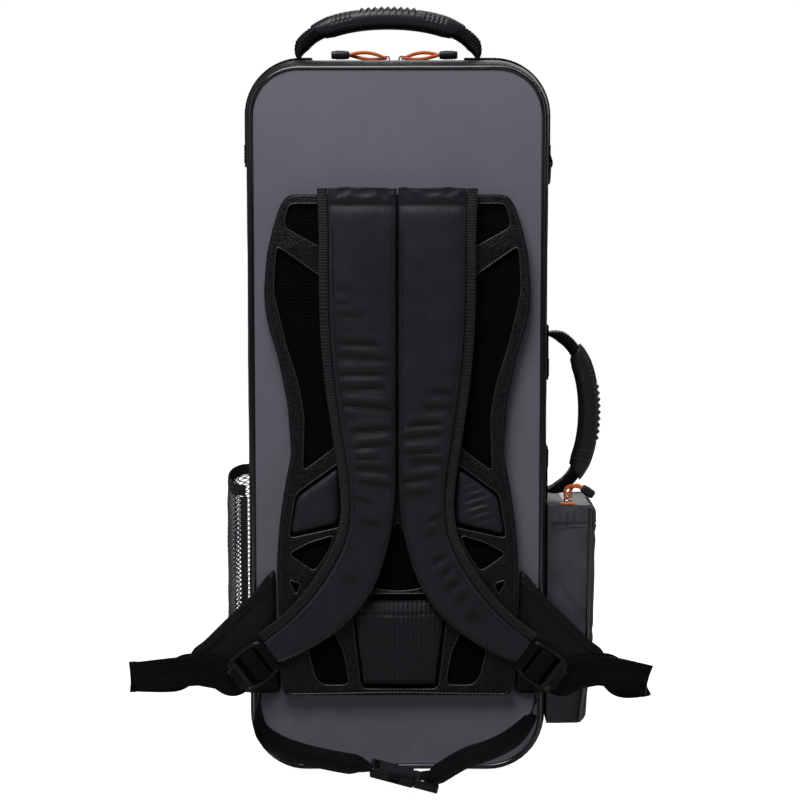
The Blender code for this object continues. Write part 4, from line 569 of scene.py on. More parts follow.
def case_edge(side_inset, end_inset):
    """Places round the case's edge in X and Z, dense enough for soft cloth, from low on the right."""
    arcs = []
    for side, rise, corner, start, straight in (
        (1, 1, BOTTOM_CORNER, -90, 40), (1, -1, TOP_CORNER, 0, 16),
        (-1, -1, TOP_CORNER, 90, 40), (-1, 1, BOTTOM_CORNER, 180, 16),
    ):
        radius = corner - (side_inset + end_inset) / 2
        z = end_inset if rise > 0 else HEIGHT - end_inset
        centre = Vector((side * (WIDTH / 2 - side_inset - radius), 0, z + rise * radius))
        arcs.append((arc(centre, X_AXIS * radius, Z_AXIS * radius, start, start + 90, 12), straight))
    places = []
    for k, (bend, straight) in enumerate(arcs):
        places += bend + line(bend[-1], arcs[(k + 1) % 4][0][0], straight)[1:-1]
    return places


def soft_shell(name, body, rim_y, flat_y, back_y):
    """One half of the case: cloth over board that gives a little between its edges."""
    rings = []
    for angle in (pi / 2 * i / 10 for i in range(10, -1, -1)):
        share = 1 - cos(angle)
        edge = case_edge(SIDE_INSET * share, END_INSET * share)
        rings.append(at_depth(edge, flat_y + (back_y - flat_y) * sin(angle)))
    rings += [at_depth(case_edge(0, 0), flat_y + (rim_y - flat_y) * i / 10) for i in range(1, 11)]
    for ring in rings[2:-2]:
        for place in ring:
            give = 0.0005 * (0.5 + ripple(place, 0.05)) + 0.0002 * (1 + ripple(place, 0.012, 3.0))
            inward = Vector((-place.x, 0, HEIGHT / 2 - place.z))
            place += inward.normalized() * max(0.0, give)
    inner = case_edge(WALL, WALL)
    inner_back_y = back_y - copysign(WALL, back_y - rim_y)
    rings += [at_depth(inner, rim_y), at_depth(inner, flat_y)]
    rings.append(at_depth(case_edge(WALL + SIDE_INSET, WALL + END_INSET), inner_back_y))
    dress(skin(rings), name, body, "oxford", "black_nylon", name.replace("_cloth", "_shell"))


def stretched_panel(name, body, front_y, outward, creases, node, spacing, levels):
    """The grey panel: twill stretched over board, rolled in at its edge under the piping."""
    margin = 2 * PIPING + 2 * GAP
    edge = even_path(case_edge(SIDE_INSET + margin, END_INSET + margin), spacing, loop=True)
    creases = [[value / 1000 for value in row] for row in creases]

    def depth(spot, share):
        low = max(0.0, 1 - spot.z / 0.12)
        sunk = (0.00035 + 0.0020 * low) * (0.5 + ripple(spot, 0.09 - 0.05 * low)) * (1 - share ** 6)
        sunk += sum(row[5] * crease(spot.x, spot.z, *row[:5]) for row in creases)
        return front_y - outward * max(0.0, sunk)

    rings = crowned(edge, Vector((0, 0, HEIGHT / 2)), front_y, levels, depth)
    rings += [at_depth(edge, front_y - outward * back) for back in (0.0012, PANEL)]
    dress(skin(rings), name, body, "twill", "grey_nylon", node)


def make_case_halves():
    soft_shell("base_cloth", "base", SEAM_Y - SEAM_RIM, BACK_Y + BASE_ROUND, BACK_Y)
    soft_shell("lid_cloth", "lid", SEAM_Y + SEAM_RIM, FRONT_Y - LID_ROUND, FRONT_Y)
    stretched_panel("back_twill", "base", PANEL_FRONT_Y, -1, BACK_CREASES, "back_panel", 0.0052, 170)
    stretched_panel("lid_twill", "lid", FRONT_Y + GAP + PANEL, 1, LID_CREASES, "lid_panel", 0.009, 90)
    margin = PIPING + GAP
    edge = case_edge(SIDE_INSET + margin, END_INSET + margin)
    for name, body, y in (("back", "base", BACK_Y - margin), ("lid", "lid", FRONT_Y + margin)):
        cord = sweep(at_depth(edge, y), Y_AXIS, plain(PIPING, PIPING), 12, True)
        dress(cord, name + "_welt", body, "vinyl", "piping", name + "_piping", degrees=80)


def seam_line(inset, low=0.115, high=0.545):
    """The zip's line from low on the left round the foot, right side and top to high on the left."""
    edge = case_edge(inset, inset)
    left = min(place.x for place in edge)
    side = [p for p in edge if abs(p.x - left) < 1e-6 and low < p.z < high]
    start = edge.index(side[-1]) + 1
    return [p for p in edge[start:] + edge[:start] if p not in side]


def make_seam_zips():
    """Coil and tape of the zip on both halves: teeth stand out from a flat woven band."""
    depth, pitch = SEAM_RIM - 0.00045, 0.0032
    for name, side in (("base", -1), ("lid", 1)):
        def teeth(at, angle):
            a, b = rounded(angle, depth / 2, 0.00125, 4)
            tooth = 0.5 + 0.5 * side * sin(TURN * at / pitch)
            return a * (0.82 + 0.18 * tooth), b * (0.70 + 0.30 * tooth)

        path = at_depth(seam_line(0.00175), SEAM_Y + side * (0.00015 + depth / 2))
        coil = sweep(even_path(path, pitch / 4), Y_AXIS, teeth, 10)
        dress(coil, name + "_zip_coil", name, "coil", "zip_tape", name + "_zip")
        tape_y = SEAM_Y + side * (SEAM_RIM + 0.0060)
        path = even_path(at_depth(seam_line(-0.0004), tape_y), 0.006)
        dress(sweep(path, Y_AXIS, plain(0.0035, 0.00035, 7), 12), name + "_zip_tape", name, "tape", "zip_tape")
        for row, shift in (("near", -0.0022), ("far", 0.0022)):
            stitch = bead_row(at_depth(seam_line(-0.0008), tape_y + shift), 0.00035, 0.0034)
            dress(stitch, name + "_zip_stitch_" + row, name, "thread", "webbing")


def make_hinge():
    """The fabric hinge: grosgrain on both halves and a rolled bead between them."""
    low, high = 0.1153, 0.5447

    def upright(out, y, steps, inset=0.0):
        x = -SIDE_WALL - out
        return line(Vector((x, y, low + inset)), Vector((x, y, high - inset)), steps)

    for name, start, end, edge in (("base", 0.0150, 0.0336, 0.0175), ("lid", 0.0364, 0.0550, 0.0525)):
        tape = sweep(upright(0.0006, (start + end) / 2, 180), Y_AXIS, band(end - start, 0.0011, 0.0048, 0.08), 20)
        dress(tape, name + "_hinge_grosgrain", name, "grosgrain", "webbing", name + "_hinge_tape")
        stitch = bead_row(upright(0.0013, edge, 1, 0.003), 0.00035, 0.0036)
        dress(stitch, name + "_hinge_stitch", name, "thread", "webbing")

    def rolled(at, angle):
        size = 0.00108 - 0.00010 * (0.5 + 0.5 * sin(TURN * at / 0.0036))
        return size * cos(angle), size * sin(angle)

    roll = sweep(upright(0.0011, SEAM_Y, 240), Y_AXIS, rolled, 12)
    dress(roll, "hinge_roll", "base", "grosgrain", "webbing", "hinge_bead")


def make_foam():
    """Flocked foam beds: the solids' hollows with every edge rolled over."""
    for body in ("base", "lid"):
        bed = solid_copy(body + "_foam")
        apply_step(bed, "REMESH", mode="VOXEL", voxel_size=0.0042)
        apply_step(bed, "SMOOTH", factor=0.6, iterations=4)
        outwards = [vert.normal.copy() for vert in bed.data.vertices]
        for vert, out in zip(bed.data.vertices, outwards):
            vert.co += out * (0.00035 * ripple(vert.co, 0.03) - 0.0003)
        dress(bed, body + "_foam_bed", body, "velour", "plush", body + "_foam", fill=0.9, degrees=70)


# The harness on the back

def pad_spot(share, sign=1):
    return Vector((sign * share[0] / 1000 * PAD_HALF, 0, PAD_BOTTOM + share[1] / 1000 * PAD_HEIGHT))


def pad_line(shares, sign=1):
    return [pad_spot(share, sign) for share in shares]


def softened(outline):
    """The outline with its corners rounded: each corner becomes a short curve."""
    places = []
    for k, corner in enumerate(outline):
        near, far = [
            corner.lerp(other, min(0.35, 0.006 / max((other - corner).length, 1e-6)))
            for other in (outline[k - 1], outline[(k + 1) % len(outline)])
        ]
        places += [near.lerp(corner, t).lerp(corner.lerp(far, t), t) for t in (i / 5 for i in range(6))]
    return places


def cut_plate(outlines, front_y, thickness, soft):
    """A plate in X and Z with rounded edges: the first outline is its edge, the others are windows."""
    curve = bpy.data.curves.new("plate", "CURVE")
    curve.dimensions = "2D"
    curve.fill_mode = "BOTH"
    curve.extrude = thickness / 2 - soft
    curve.bevel_depth = soft
    curve.bevel_resolution = 2
    curve.offset = -soft
    for outline in outlines:
        spline = curve.splines.new("POLY")
        spline.points.add(len(outline) - 1)
        for point, place in zip(spline.points, outline):
            point.co = (place.x, place.z, 0, 1)
        spline.use_cyclic_u = True
    thing = bpy.data.objects.new("plate", curve)
    bpy.context.scene.collection.objects.link(thing)
    pick(thing)
    bpy.ops.object.convert(target="MESH")
    thing = bpy.context.object
    middle = Matrix.Translation((0, front_y + thickness / 2, 0))
    thing.data.transform(middle @ Matrix.Rotation(pi / 2, 4, "X"))
    weld(thing, 0.00001)
    return thing


def cushion(outline, back_y, thickness, levels, folds, crown=0.5):
    """A stuffed pad over an outline in X and Z, crowned in the middle and drawn in at its edge."""
    edge = even_path(outline, 0.0035, loop=True)
    middle = sum(edge, Vector()) / len(edge)

    def depth(spot, share):
        rise = thickness * (1 - share ** 4) ** crown + folds(spot.x, spot.z) * (1 - share ** 8)
        return back_y - max(0.0003, rise)

    rings = crowned(edge, middle, back_y - thickness, levels, depth)
    return skin(rings + [at_depth([middle.lerp(place, 0.97) for place in edge], back_y)])


def make_back_pad():
    """Air mesh pad under its textured border, with overlock stitching round every window."""
    outline = pad_line(PAD_EDGE) + pad_line(PAD_EDGE[::-1], -1)
    edge = even_path(softened(outline), 0.003, loop=True)
    middle = Vector((0, 0, PAD_BOTTOM + 0.45 * PAD_HEIGHT))

    def depth(spot, share):
        return PAD_FRONT_Y + max(0.0, 0.0012 * (0.5 + ripple(spot, 0.035)) * (1 - share ** 8))

    rings = crowned(edge, middle, PAD_FRONT_Y, 40, depth, 0.997)
    rings += [at_depth(edge, PAD_FRONT_Y + 0.002), at_depth(edge, PAD_BACK_Y - 0.0015)]
    rings.append(at_depth([middle.lerp(place, 0.995) for place in edge], PAD_BACK_Y))
    dress(skin(rings), "back_pad", "base", "mesh", "mesh", "harness_pad", fill=0.5)
    windows = [pad_line(shares, sign) for shares in PAIRED_WINDOWS for sign in (1, -1)]
    windows = [softened(window) for window in windows + [pad_line(MIDDLE_WINDOW), pad_line(LUMBAR_FRAME)]]
    border = cut_plate([edge] + windows, BORDER_FRONT_Y, 0.0025, 0.0007)
    dress(border, "border_crepe", "base", "border", "black_nylon", "harness_border")
    rows = []
    for window in windows:
        middle = sum(window, Vector()) / len(window)
        row = [place + (place - middle).normalized() * 0.0009 for place in window]
        rows.append(bead_row(at_depth(row, BORDER_FRONT_Y), 0.00065, 0.0030, loop=True))
    dress(join(*rows), "window_stitch", "base", "overlock", "black_nylon")
    row = []
    for place in edge:
        target = Vector((0, 0, min(max(place.z, PAD_BOTTOM + 0.05), PAD_BOTTOM + PAD_HEIGHT - 0.05)))
        row.append(place + (target - place).normalized() * 0.0028)
    stitch = bead_row(at_depth(row, BORDER_FRONT_Y), 0.0005, 0.0034, loop=True)
    dress(stitch, "border_stitch", "base", "thread", "black_nylon")


def make_hip_pads():
    """Two navy hip panels; the right one has folds that fan from its inner edge."""
    def left_folds(x, z):
        return 0.0009 * ripple((x, 0, z), 0.016) - 0.0008 * crease(x, z, -0.090, 0.272, -0.062, 0.246, 0.0035)

    def right_folds(x, z):
        drop = 0.0006 * ripple((x, 0, z), 0.012, 4.0)
        for height in (0.236 + 0.0075 * k for k in range(6)):
            drop -= 0.0016 * crease(x, z, 0.058, height - 0.002, 0.086, height + 0.007, 0.0020)
        return drop

    for name, sign, folds in (("left", -1, left_folds), ("right", 1, right_folds)):
        pad = cushion(softened(pad_line(HIP_PAD, sign)), BORDER_BACK_Y, 0.0050, 22, folds)
        dress(pad, name + "_hip_cushion", "base", "taffeta", "navy_nylon", name + "_hip_pad", fill=0.6)


def make_lumbar_cushion():
    """The lumbar pad: a smooth ledge over fine upright gathers, pinned down at its sides."""
    left, right, foot_right, foot_left = pad_line(LUMBAR_FRAME)
    low, high = foot_left.z + 0.0036, left.z - 0.0036
    rings = []
    for share in (i / 120 for i in range(121)):
        puff = max(0.0, sin(pi * share)) ** 0.35
        ring = []
        for rise in (k / 44 for k in range(45)):
            start, end = foot_left.lerp(left, rise).x, foot_right.lerp(right, rise).x
            x = (start + end) / 2 + (end - start - 0.0052) * (share - 0.5)
            z = low + (high - low) * rise * (1 - 0.035 * sin(pi * share))
            body = min(1.0, rise / 0.06) ** 0.5 if rise < 0.84 else max(0.0, 1 - (rise - 0.84) / 0.16) ** 0.6
            depth = 0.0078 * puff * body
            if rise > 0.82:
                depth -= 0.0016 * hill(rise - 0.84, 0.018)
            gather = sin(TURN * (x + 0.0012 * ripple((x, 0, z), 0.02)) / 0.0038)
            depth += 0.00022 * gather * (1.0 if rise < 0.82 else 0.15) * puff
            depth += 0.0005 * ripple((x, 0, z), 0.014, 2.0) * puff
            ring.append(Vector((x, BORDER_BACK_Y - max(0.0002, depth), z)))
        rings.append(ring + at_depth(ring[::-4], BORDER_BACK_Y))
    dress(skin(rings), "lumbar_cushion", "base", "knit", "navy_nylon", "lumbar_pad", fill=0.6, degrees=60)
    seam = [Vector((left.x + 0.004 + (right.x - left.x - 0.008) * share, BORDER_BACK_Y - 0.0028,
                    high - 0.002 - 0.0052 * sin(pi * share))) for share in (i / 30 for i in range(31))]
    dress(bead_row(seam, 0.0005, 0.0026), "lumbar_seam", "base", "overlock", "navy_nylon")


def strap_stations(sign):
    """Middle, direction across, half width and thickness of a strap from its top to its lower end."""
    outer, inner = [smooth_path(pad_line(shares, sign), 16) for shares in (STRAP_OUTER, STRAP_INNER)]
    swells = smooth_path([Vector((share, 0, 0)) for share in STRAP_SWELL], 16)
    end_y = STRAP_BACK_Y - STRAP_SWELL[-1] * STRAP_THICKNESS / 2
    stations = []
    for i, (a, b, swell) in enumerate(zip(outer, inner, swells)):
        share = max(0.0, (i / (len(outer) - 1) - 0.6) / 0.4)
        size = swell.x * STRAP_THICKNESS
        y = STRAP_BACK_Y - size / 2 + (LOCK_Y - end_y) * share
        middle = (a + b) / 2
        stations.append((Vector((middle.x, y, middle.z)), (a - b).normalized(), (a - b).length / 2, size))
    return stations


def fold_depth(folds, z, across):
    """How far the strap's face is drawn in at a height and a share of the way from its outer edge."""
    depth = 0.0
    for height, start, end, deep, rise in folds:
        away = (z * 1000 - height - rise * (across - 0.5)) / 2.6
        reach = min((across - start) / 0.2, (end - across) / 0.2, 1.0)
        if -4 < away < 3 and reach > 0:
            slope = hill(away, 0.75 if away > 0 else 2.2)
            depth += deep / 1000 * reach * (1.3 * slope - 0.5 * hill(away - 1.9))
    return depth


def paint_fold_shade(thing, places, fold_shade_weights):
    """Stores on each vertex, as the attribute fold, how strongly painted shade darkens it, from the weight of the
    nearest place where the cloth was drawn in.
    """
    tree = KDTree(len(places))
    for k, place in enumerate(places):
        tree.insert(place, k)
    tree.balance()
    fold_shade = thing.data.attributes.new("fold", "FLOAT", "POINT")
    for vert in thing.data.vertices:
        fold_shade.data[vert.index].value = fold_shade_weights[tree.find(vert.co)[1]]


def make_shoulder_strap(name, sign):
    """A padded strap with its crumpled sewn top, edge binding, and stitching inside both edges, with painted shade in
    its folds and under its top seam.
    """
    stations, folds, body = strap_stations(sign), FOLDS[name], name + "_strap"
    rings, edge, acrosses, outer, inner, places, fold_shade_weights = [], [], [], [], [], [], []
    for middle, across, half, size in stations:
        ring = []
        drop = stations[0][0].z - middle.z
        seam = 0.0020 * hill(drop - 0.0130, 0.0016 if drop < 0.0130 else 0.0055)
        for angle in (TURN * (i + 0.5) / 72 for i in range(72)):
            a, b = rounded(angle, half, size / 2, 2.9)
            spot = middle + across * a - Y_AXIS * b
            if b > 0:
                face = 0.5 - 0.5 * a / half
                drawn = fold_depth(folds, middle.z, face) + seam
                # Painted shade: dark follows how deep the fold lies just below this height, so the fold's shaded lower
                # side is painted darker.
                dark = max(0.0, fold_depth(folds, middle.z - 0.0004, face)) / 0.0013
                drawn += 0.0004 * ripple((spot.x, 0, spot.z), 0.018, 6.0 * sign)
                if drop < 0.012:
                    drawn += 0.0022 * ripple((spot.x, 0, spot.z * 1.5), 0.0080, 9.0 * sign)
                spot.y += drawn * min(1.0, 2.2 * b / (size / 2))
                places.append(spot)
                # Painted shade weight for this place: the fold's painted shade plus painted shadow under the crumpled
                # top seam.
                fold_shade_weights.append(min(0.9, dark + max(0.0, seam - 0.0008) / 0.0020))
            if drop < 0.010:
                spot.z += 0.0022 * (1 - drop / 0.010) * ripple((spot.x, 0, 0), 0.010, 5.0 * sign)
            ring.append(spot)
        rings.append(ring)
        edge.append(middle + across * (half + GAP + 0.0045))
        acrosses.append(across)
        outer.append(middle + across * (half - 0.0028) - Y_AXIS * (size * 0.40))
        inner.append(middle - across * (half - 0.0022) - Y_AXIS * (size * 0.40))
    pad = skin(rings)
    paint_fold_shade(pad, places, fold_shade_weights)
    dress(pad, body + "_cushion", None, "taffeta", "navy_nylon", body + "_pad", fill=0.7, degrees=60)
    tape = sweep(edge, acrosses, band(0.009, 0.0022, 0.0047, 0.10, 3.5), 18)
    dress(tape, body + "_edge", None, "grosgrain", "webbing", body + "_binding")
    row = bead_row([place - Y_AXIS * 0.0011 - across * 0.0028 for place, across in zip(edge, acrosses)],
                   0.0005, 0.0034)
    dress(row, body + "_edge_stitch", None, "thread", "webbing")
    rows = join(bead_row(outer[14:], 0.0005, 0.0036), bead_row(inner[14:], 0.0006, 0.0036))
    dress(rows, body + "_stitch", None, "thread", "webbing")
    for piece in (pad, tape, row, rows):
        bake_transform(piece)


def lock_frame(sign):
    """Middle of a ladder lock, the direction along it, away from the strap, and the one across it."""
    end = (pad_spot(STRAP_OUTER[-1], sign) + pad_spot(STRAP_INNER[-1], sign)) / 2
    turn = radians(37)
    along = Vector((sign * cos(turn), 0, -sin(turn)))
    return end + along * (LOCK_LENGTH / 2 + 0.0025) + Y_AXIS * LOCK_Y, along, Vector((sign * sin(turn), 0, cos(turn)))


def slotted_plate(widths, heights, slots, thickness, soft):
    """A moulded plate from a grid of cells: widths and heights are cell sizes, slots the open cells."""
    pick()
    wide, tall = len(widths), len(heights)
    bpy.ops.mesh.primitive_grid_add(x_subdivisions=wide, y_subdivisions=tall, size=1.0)
    thing = bpy.context.object
    xs, ys = [[sum(sizes[:i]) - sum(sizes) / 2 for i in range(len(sizes) + 1)] for sizes in (widths, heights)]
    for vert in thing.data.vertices:
        i, j = round((vert.co.x + 0.5) * wide), round((vert.co.y + 0.5) * tall)
        trim = 0.91 if i in (0, wide) and j in (0, tall) else 1.0
        vert.co = (xs[i] * trim, ys[j] * trim, 0)
    bpy.ops.object.mode_set(mode="EDIT")
    bpy.ops.mesh.select_mode(type="FACE")
    bpy.ops.mesh.select_all(action="DESELECT")
    for face in bmesh.from_edit_mesh(thing.data).faces:
        centre = face.calc_center_median()
        face.select = (sum(x < centre.x for x in xs) - 1, sum(y < centre.y for y in ys) - 1) in slots
    bmesh.update_edit_mesh(thing.data)
    bpy.ops.mesh.delete(type="FACE")
    bpy.ops.object.mode_set(mode="OBJECT")
    apply_step(thing, "SOLIDIFY", thickness=thickness, offset=0.0)
    apply_step(thing, "BEVEL", width=soft, segments=3, limit_method="ANGLE", angle_limit=radians(50))
    return thing


def lay(thing, centre, along, across, out):
    """Turns a piece made flat, its length along X and its face up, into its place."""
    turn = Matrix((along, across, out)).transposed().to_4x4()
    thing.data.transform(Matrix.Translation(centre) @ turn)
    if turn.determinant() < 0:
        thing.data.flip_normals()


def make_ladder_lock(name, sign):
    """A moulded three-bar adjuster with raised side rails and a thumb tab, and the tab that holds it."""
    centre, along, across = lock_frame(sign)
    body, out = name + "_strap", -Y_AXIS
    plate = slotted_plate((0.0050, 0.0095, 0.0050, 0.0095, 0.0090), (0.0033, 0.0294, 0.0033),
                          ((1, 1), (3, 1)), 0.0033, 0.0011)
    lay(plate, centre, along, across, out)
    dress(plate, name + "_lock_frame", body, "acetal", "plastic", name + "_ladder_lock")
    loop = [centre + along * a + across * b + out * 0.0013 for a, b in oval(0.0178, 0.0168, 4.5, 0, TURN, 96)[:-1]]
    rim = sweep(loop, Y_AXIS, plain(0.0017, 0.0018, 2.4), 14, loop=True)
    dress(rim, name + "_lock_rim", body, "acetal", "plastic")
    tab = sweep([centre + along * (0.0155 + 0.0012 * i) + out * (0.0012 + 0.0005 * i) for i in range(6)],
                across, lambda at, angle: rounded(angle, 0.0120 - at * 0.3, 0.0014, 4), 16)
    dress(tab, name + "_lock_thumb", body, "acetal", "plastic")
    bar = centre + along * (0.0025 - LOCK_LENGTH / 2)
    reach, rise = 0.0032 + GAP, 0.00245 + GAP
    fold = [bar + along * (reach * a) + out * (rise * b)
            for a, b in ((0.0, 1.0), (0.8, 1.0), (1.04, 0.6), (1.04, -0.6), (0.8, -1.0), (0.0, -1.0))]
    start = bar - along * 0.0044
    path = even_path(smooth_path([start + out * rise] + fold + [start - out * rise], 8), 0.0006)
    strip = sweep(path, across, band(0.0288, 0.0013), 16)
    dress(strip, name + "_lock_loop", body, "webbing", "webbing", name + "_lock_tab")


def make_strap_webbing(name, sign, loop_x):
    """The adjusting webbing: over the lock's bars, out past the wing's tip, folded and back behind it."""
    centre, along, across = lock_frame(sign)
    middle, over = 0.0170 - LOCK_LENGTH / 2, 0.00245 + GAP
    near, far = middle - 0.00725, middle + 0.00725
    run, tail = abs(centre.y - RUN_Y), abs(centre.y - TAIL_Y)
    path = [centre + along * s - Y_AXIS * n for s, n in (
        (far + 0.005, -tail), (near + 0.005, -tail), (near, -over), (near, 0), (near + 0.0025, over),
        (far - 0.0025, over), (far, 0), (far + 0.00125, -run * 0.85), (far + 0.005, -run), (0.024, -run),
    )]
    exit_spot = path[-1]
    tip = pad_spot((1600, 49), sign) + Y_AXIS * RUN_Y
    bend = exit_spot.lerp(tip, 0.4)
    bend.z = tip.z
    radius, hang, drop, slant = (0.0052, 0.0060, 0.0065, 0.22) if sign > 0 else (0.0052, 0.0025, 0.0050, -0.04)
    turn_x, end_z, back_y = sign * (loop_x - radius), tip.z - drop, RUN_Y + 2 * radius
    clear_y = WING_BACK_Y + GAP + 0.0007
    path += [bend, tip, Vector((turn_x, RUN_Y, end_z))]
    for i in range(1, 6):
        angle = pi * i / 6
        path.append(Vector((turn_x + sign * radius * sin(angle), RUN_Y + radius * (1 - cos(angle)),
                            end_z - hang * i / 6)))
    path += [Vector((turn_x, back_y, end_z - hang)),
             Vector((tip.x + sign * 0.014, (back_y + clear_y) / 2, end_z - hang)),
             Vector((tip.x + sign * 0.0012, clear_y, tip.z)), Vector((tip.x - sign * 0.014, clear_y, tip.z))]
    lean = (Z_AXIS + X_AXIS * slant - Y_AXIS * 0.10).normalized()
    acrosses = [across] * 9 + [across.lerp(Z_AXIS, share).normalized() for share in (0.3, 0.7, 1.0)]
    acrosses += [lean] * 6 + [Z_AXIS] * 4
    fine, ways = even_band(smooth_path(path, 10), smooth_path(acrosses, 10), 0.0006)
    strip = sweep(fine, ways, band(0.028, 0.0014, 0.0026, 0.14), 20)
    dress(strip, name + "_webbing", None, "webbing", "webbing", name + "_strap_webbing")
    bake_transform(strip)
    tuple(centre)


def make_wing(name, sign):
    """A hip wing: a flat cushion with a pebbled band and stitching along its upper edge."""
    outline = [place + X_AXIS * sign * 0.0006 for place in pad_line(WING_EDGE, sign)]
    edge = even_path(softened(outline), 0.003, loop=True)
    pad = cushion(edge, WING_BACK_Y, WING_THICKNESS, 20,
                  lambda x, z: 0.0005 * ripple((x, 0, z), 0.025, 3.0 * sign), 0.35)
    dress(pad, name + "_wing_cushion", "base", "oxford", "black_nylon", name + "_wing", fill=0.4)
    upper = smooth_path(pad_line(WING_EDGE[2:8], sign), 8)
    middle = sum(edge, Vector()) / len(edge)
    path = at_depth([place.lerp(middle, 0.13) for place in upper], WING_BACK_Y - WING_THICKNESS * 0.88)
    path = even_path(path, 0.002)
    strip = sweep(path, [Y_AXIS.cross(way) for way in directions(path)], plain(0.0045, 0.0012, 4), 14)
    dress(strip, name + "_wing_band", "base", "border", "black_nylon")
    path = at_depth([place.lerp(middle, 0.24) for place in upper], WING_BACK_Y - WING_THICKNESS * 0.97)
    dress(bead_row(path, 0.0005, 0.0034), name + "_wing_stitch", "base", "thread", "black_nylon")


# The waist belt

def buckle_spot(along, out):
    c, s = cos(radians(15)), sin(radians(15))
    return Vector((0.006 + along * c + out * s, -0.122, 0.0137 - along * s + out * c))


def make_waist_belts():
    """Slack belt webbing from under each wing to the side-release buckle."""
    half = (0.040 + GAP + 0.022) / 2
    above = 0.0035 + 2 * GAP + 0.0007
    left_shares = ((-0.010, 0.06, 0.27), (0.03, 0.20, 0.54), (0.17, 0.40, 0.74), (0.40, 0.62, 0.86),
                   (0.66, 0.80, 0.94), (0.87, 0.93, 0.985))
    right_shares = ((0.07, 0.20, 0.30), (0.24, 0.42, 0.53), (0.45, 0.60, 0.66), (0.68, 0.78, 0.75),
                    (0.90, 0.95, 0.91))
    right_end, right_tip = buckle_spot(half - 0.006, above), buckle_spot(half - 0.016, above)
    for name, sign, shares, end, tail in (
        ("left", -1, left_shares, buckle_spot(-half - GAP - 0.008, 0), [buckle_spot(-half - GAP, 0)]),
        ("right", 1, right_shares, right_end, [right_tip.lerp(right_end, 0.5), right_tip]),
    ):
        root = pad_spot((1050, 0), sign) + Y_AXIS * (WING_BACK_Y - 0.0125) - Z_AXIS * GAP
        way = end - root
        slack = [root - Z_AXIS * 0.004]
        slack += [root + Vector((way.x * a, way.y * b, way.z * c)) for a, b, c in shares]
        path = even_path([root] + smooth_path(slack + [end], 8) + tail, 0.0007)
        acrosses = []
        for k, way in enumerate(directions(path)):
            share = k / (len(path) - 1)
            lean = radians(30) * min(1.0, share / 0.3) * min(1.0, max(0.0, (1.0 - share) / 0.12))
            up = way.cross(Y_AXIS)
            up = up if up.z + abs(up.x) * 0.5 > 0 else -up
            acrosses.append((Y_AXIS * cos(lean) + up * sin(lean)).normalized())
        strip = sweep(path, acrosses, band(0.025, 0.0014, 0.0026, 0.14), 20)
        body = "base" if sign > 0 else None
        dress(strip, name + "_belt", body, "webbing", "webbing", name + "_waist_belt")
        if not body:
            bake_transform(strip)


def make_buckle():
    """The side-release buckle: socket and plug with every edge rounded."""
    for half, body in (("socket", "buckle_socket"), ("plug", "base")):
        part = solid_copy("waist_buckle_" + half)
        apply_step(part, "BEVEL", width=0.0006, segments=2, limit_method="ANGLE", angle_limit=radians(40))
        dress(part, "buckle_" + half + "_body", body, "acetal", "plastic", "waist_buckle_" + half, degrees=35)


# Handles

def make_handle(prefix, foot, sideways, out, span, rise, grip_length, tail_swell):
    """A webbing handle with its moulded grip: ribs in the middle, dimples beside them, cupped ends."""
    across, body = sideways.cross(out), prefix + "_handle"
    path = [foot + sideways * a + out * b for a, b in oval(span / 2, rise - 0.009, 2.1, pi, 0, 60)]
    path = even_path(path, 0.0009)
    length = length_of(path)
    start = (length - grip_length) / 2
    step = length / (len(path) - 1)

    def tail(at, angle):
        thick = 0.0038 + tail_swell * min(1.0, at / 0.012) ** 0.8
        a, b = rounded(angle, 0.0105, thick / 2, 3.4)
        return a, b * (1 + 0.05 * sin(TURN * at / 0.0027))

    count = round((start + 0.005) / step)
    for name, piece in (("_tail_near", path[:count]), ("_tail_far", path[:-count - 1:-1])):
        strap = sweep(piece, across, tail, 24)
        dress(strap, body + name, None, "webbing", "webbing", prefix + "_handle_strap")
        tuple(piece[0])
        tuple(piece[-6])
        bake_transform(strap)
    inside = even_path([p for k, p in enumerate(path) if start <= k * step <= length - start], 0.0006)
    full, rib_pitch = length_of(inside), 0.0057
    smooth = (full - 9 * rib_pitch) / 2

    def grip(at, angle):
        end = max(0.0, min(at, full - at))
        taper = 0.80 + 0.20 * min(1.0, end / 0.012) ** 0.5
        half_height = 0.0098 * taper
        a, b = rounded(angle, 0.013 * taper, half_height, 2.6)
        if smooth < at < full - smooth:
            tooth = ((at - smooth) / rib_pitch) % 1.0
            height = 0.0026 * (1 - abs(2 * tooth - 1)) ** 0.9 - 0.0010
            return a, b * (1 + height / half_height * max(0.0, sin(angle)) ** 0.5)
        dot = sin(pi * end / 0.0042) * sin(pi * angle / TURN * 18)
        zone = min(1.0, max(0.0, (end - 0.012) / 0.004), max(0.0, (smooth - 0.004 - end) / 0.004))
        shrink = 1 - 0.06 * max(0.0, abs(dot) - 0.45) * 1.8 * zone
        return a * shrink, b * shrink

    sleeve = sweep(inside, across, grip, 64)
    for end, way in ((inside[0], inside[0] - inside[1]), (inside[-1], inside[-1] - inside[-2])):
        way = way.normalized()
        outward = (end - foot - out * (rise * 0.3)).normalized()
        outward = (outward - way * outward.dot(way)).normalized()
        for vert in sleeve.data.vertices:
            away = -(vert.co - end).dot(way)
            if away < 0.012:
                vert.co += way * ((vert.co - end).dot(outward) * 0.5 * (1 - max(0.0, away) / 0.012))
    dress(sleeve, body + "_rubber", body, "rubber", "rubber", prefix + "_handle_grip", degrees=35)


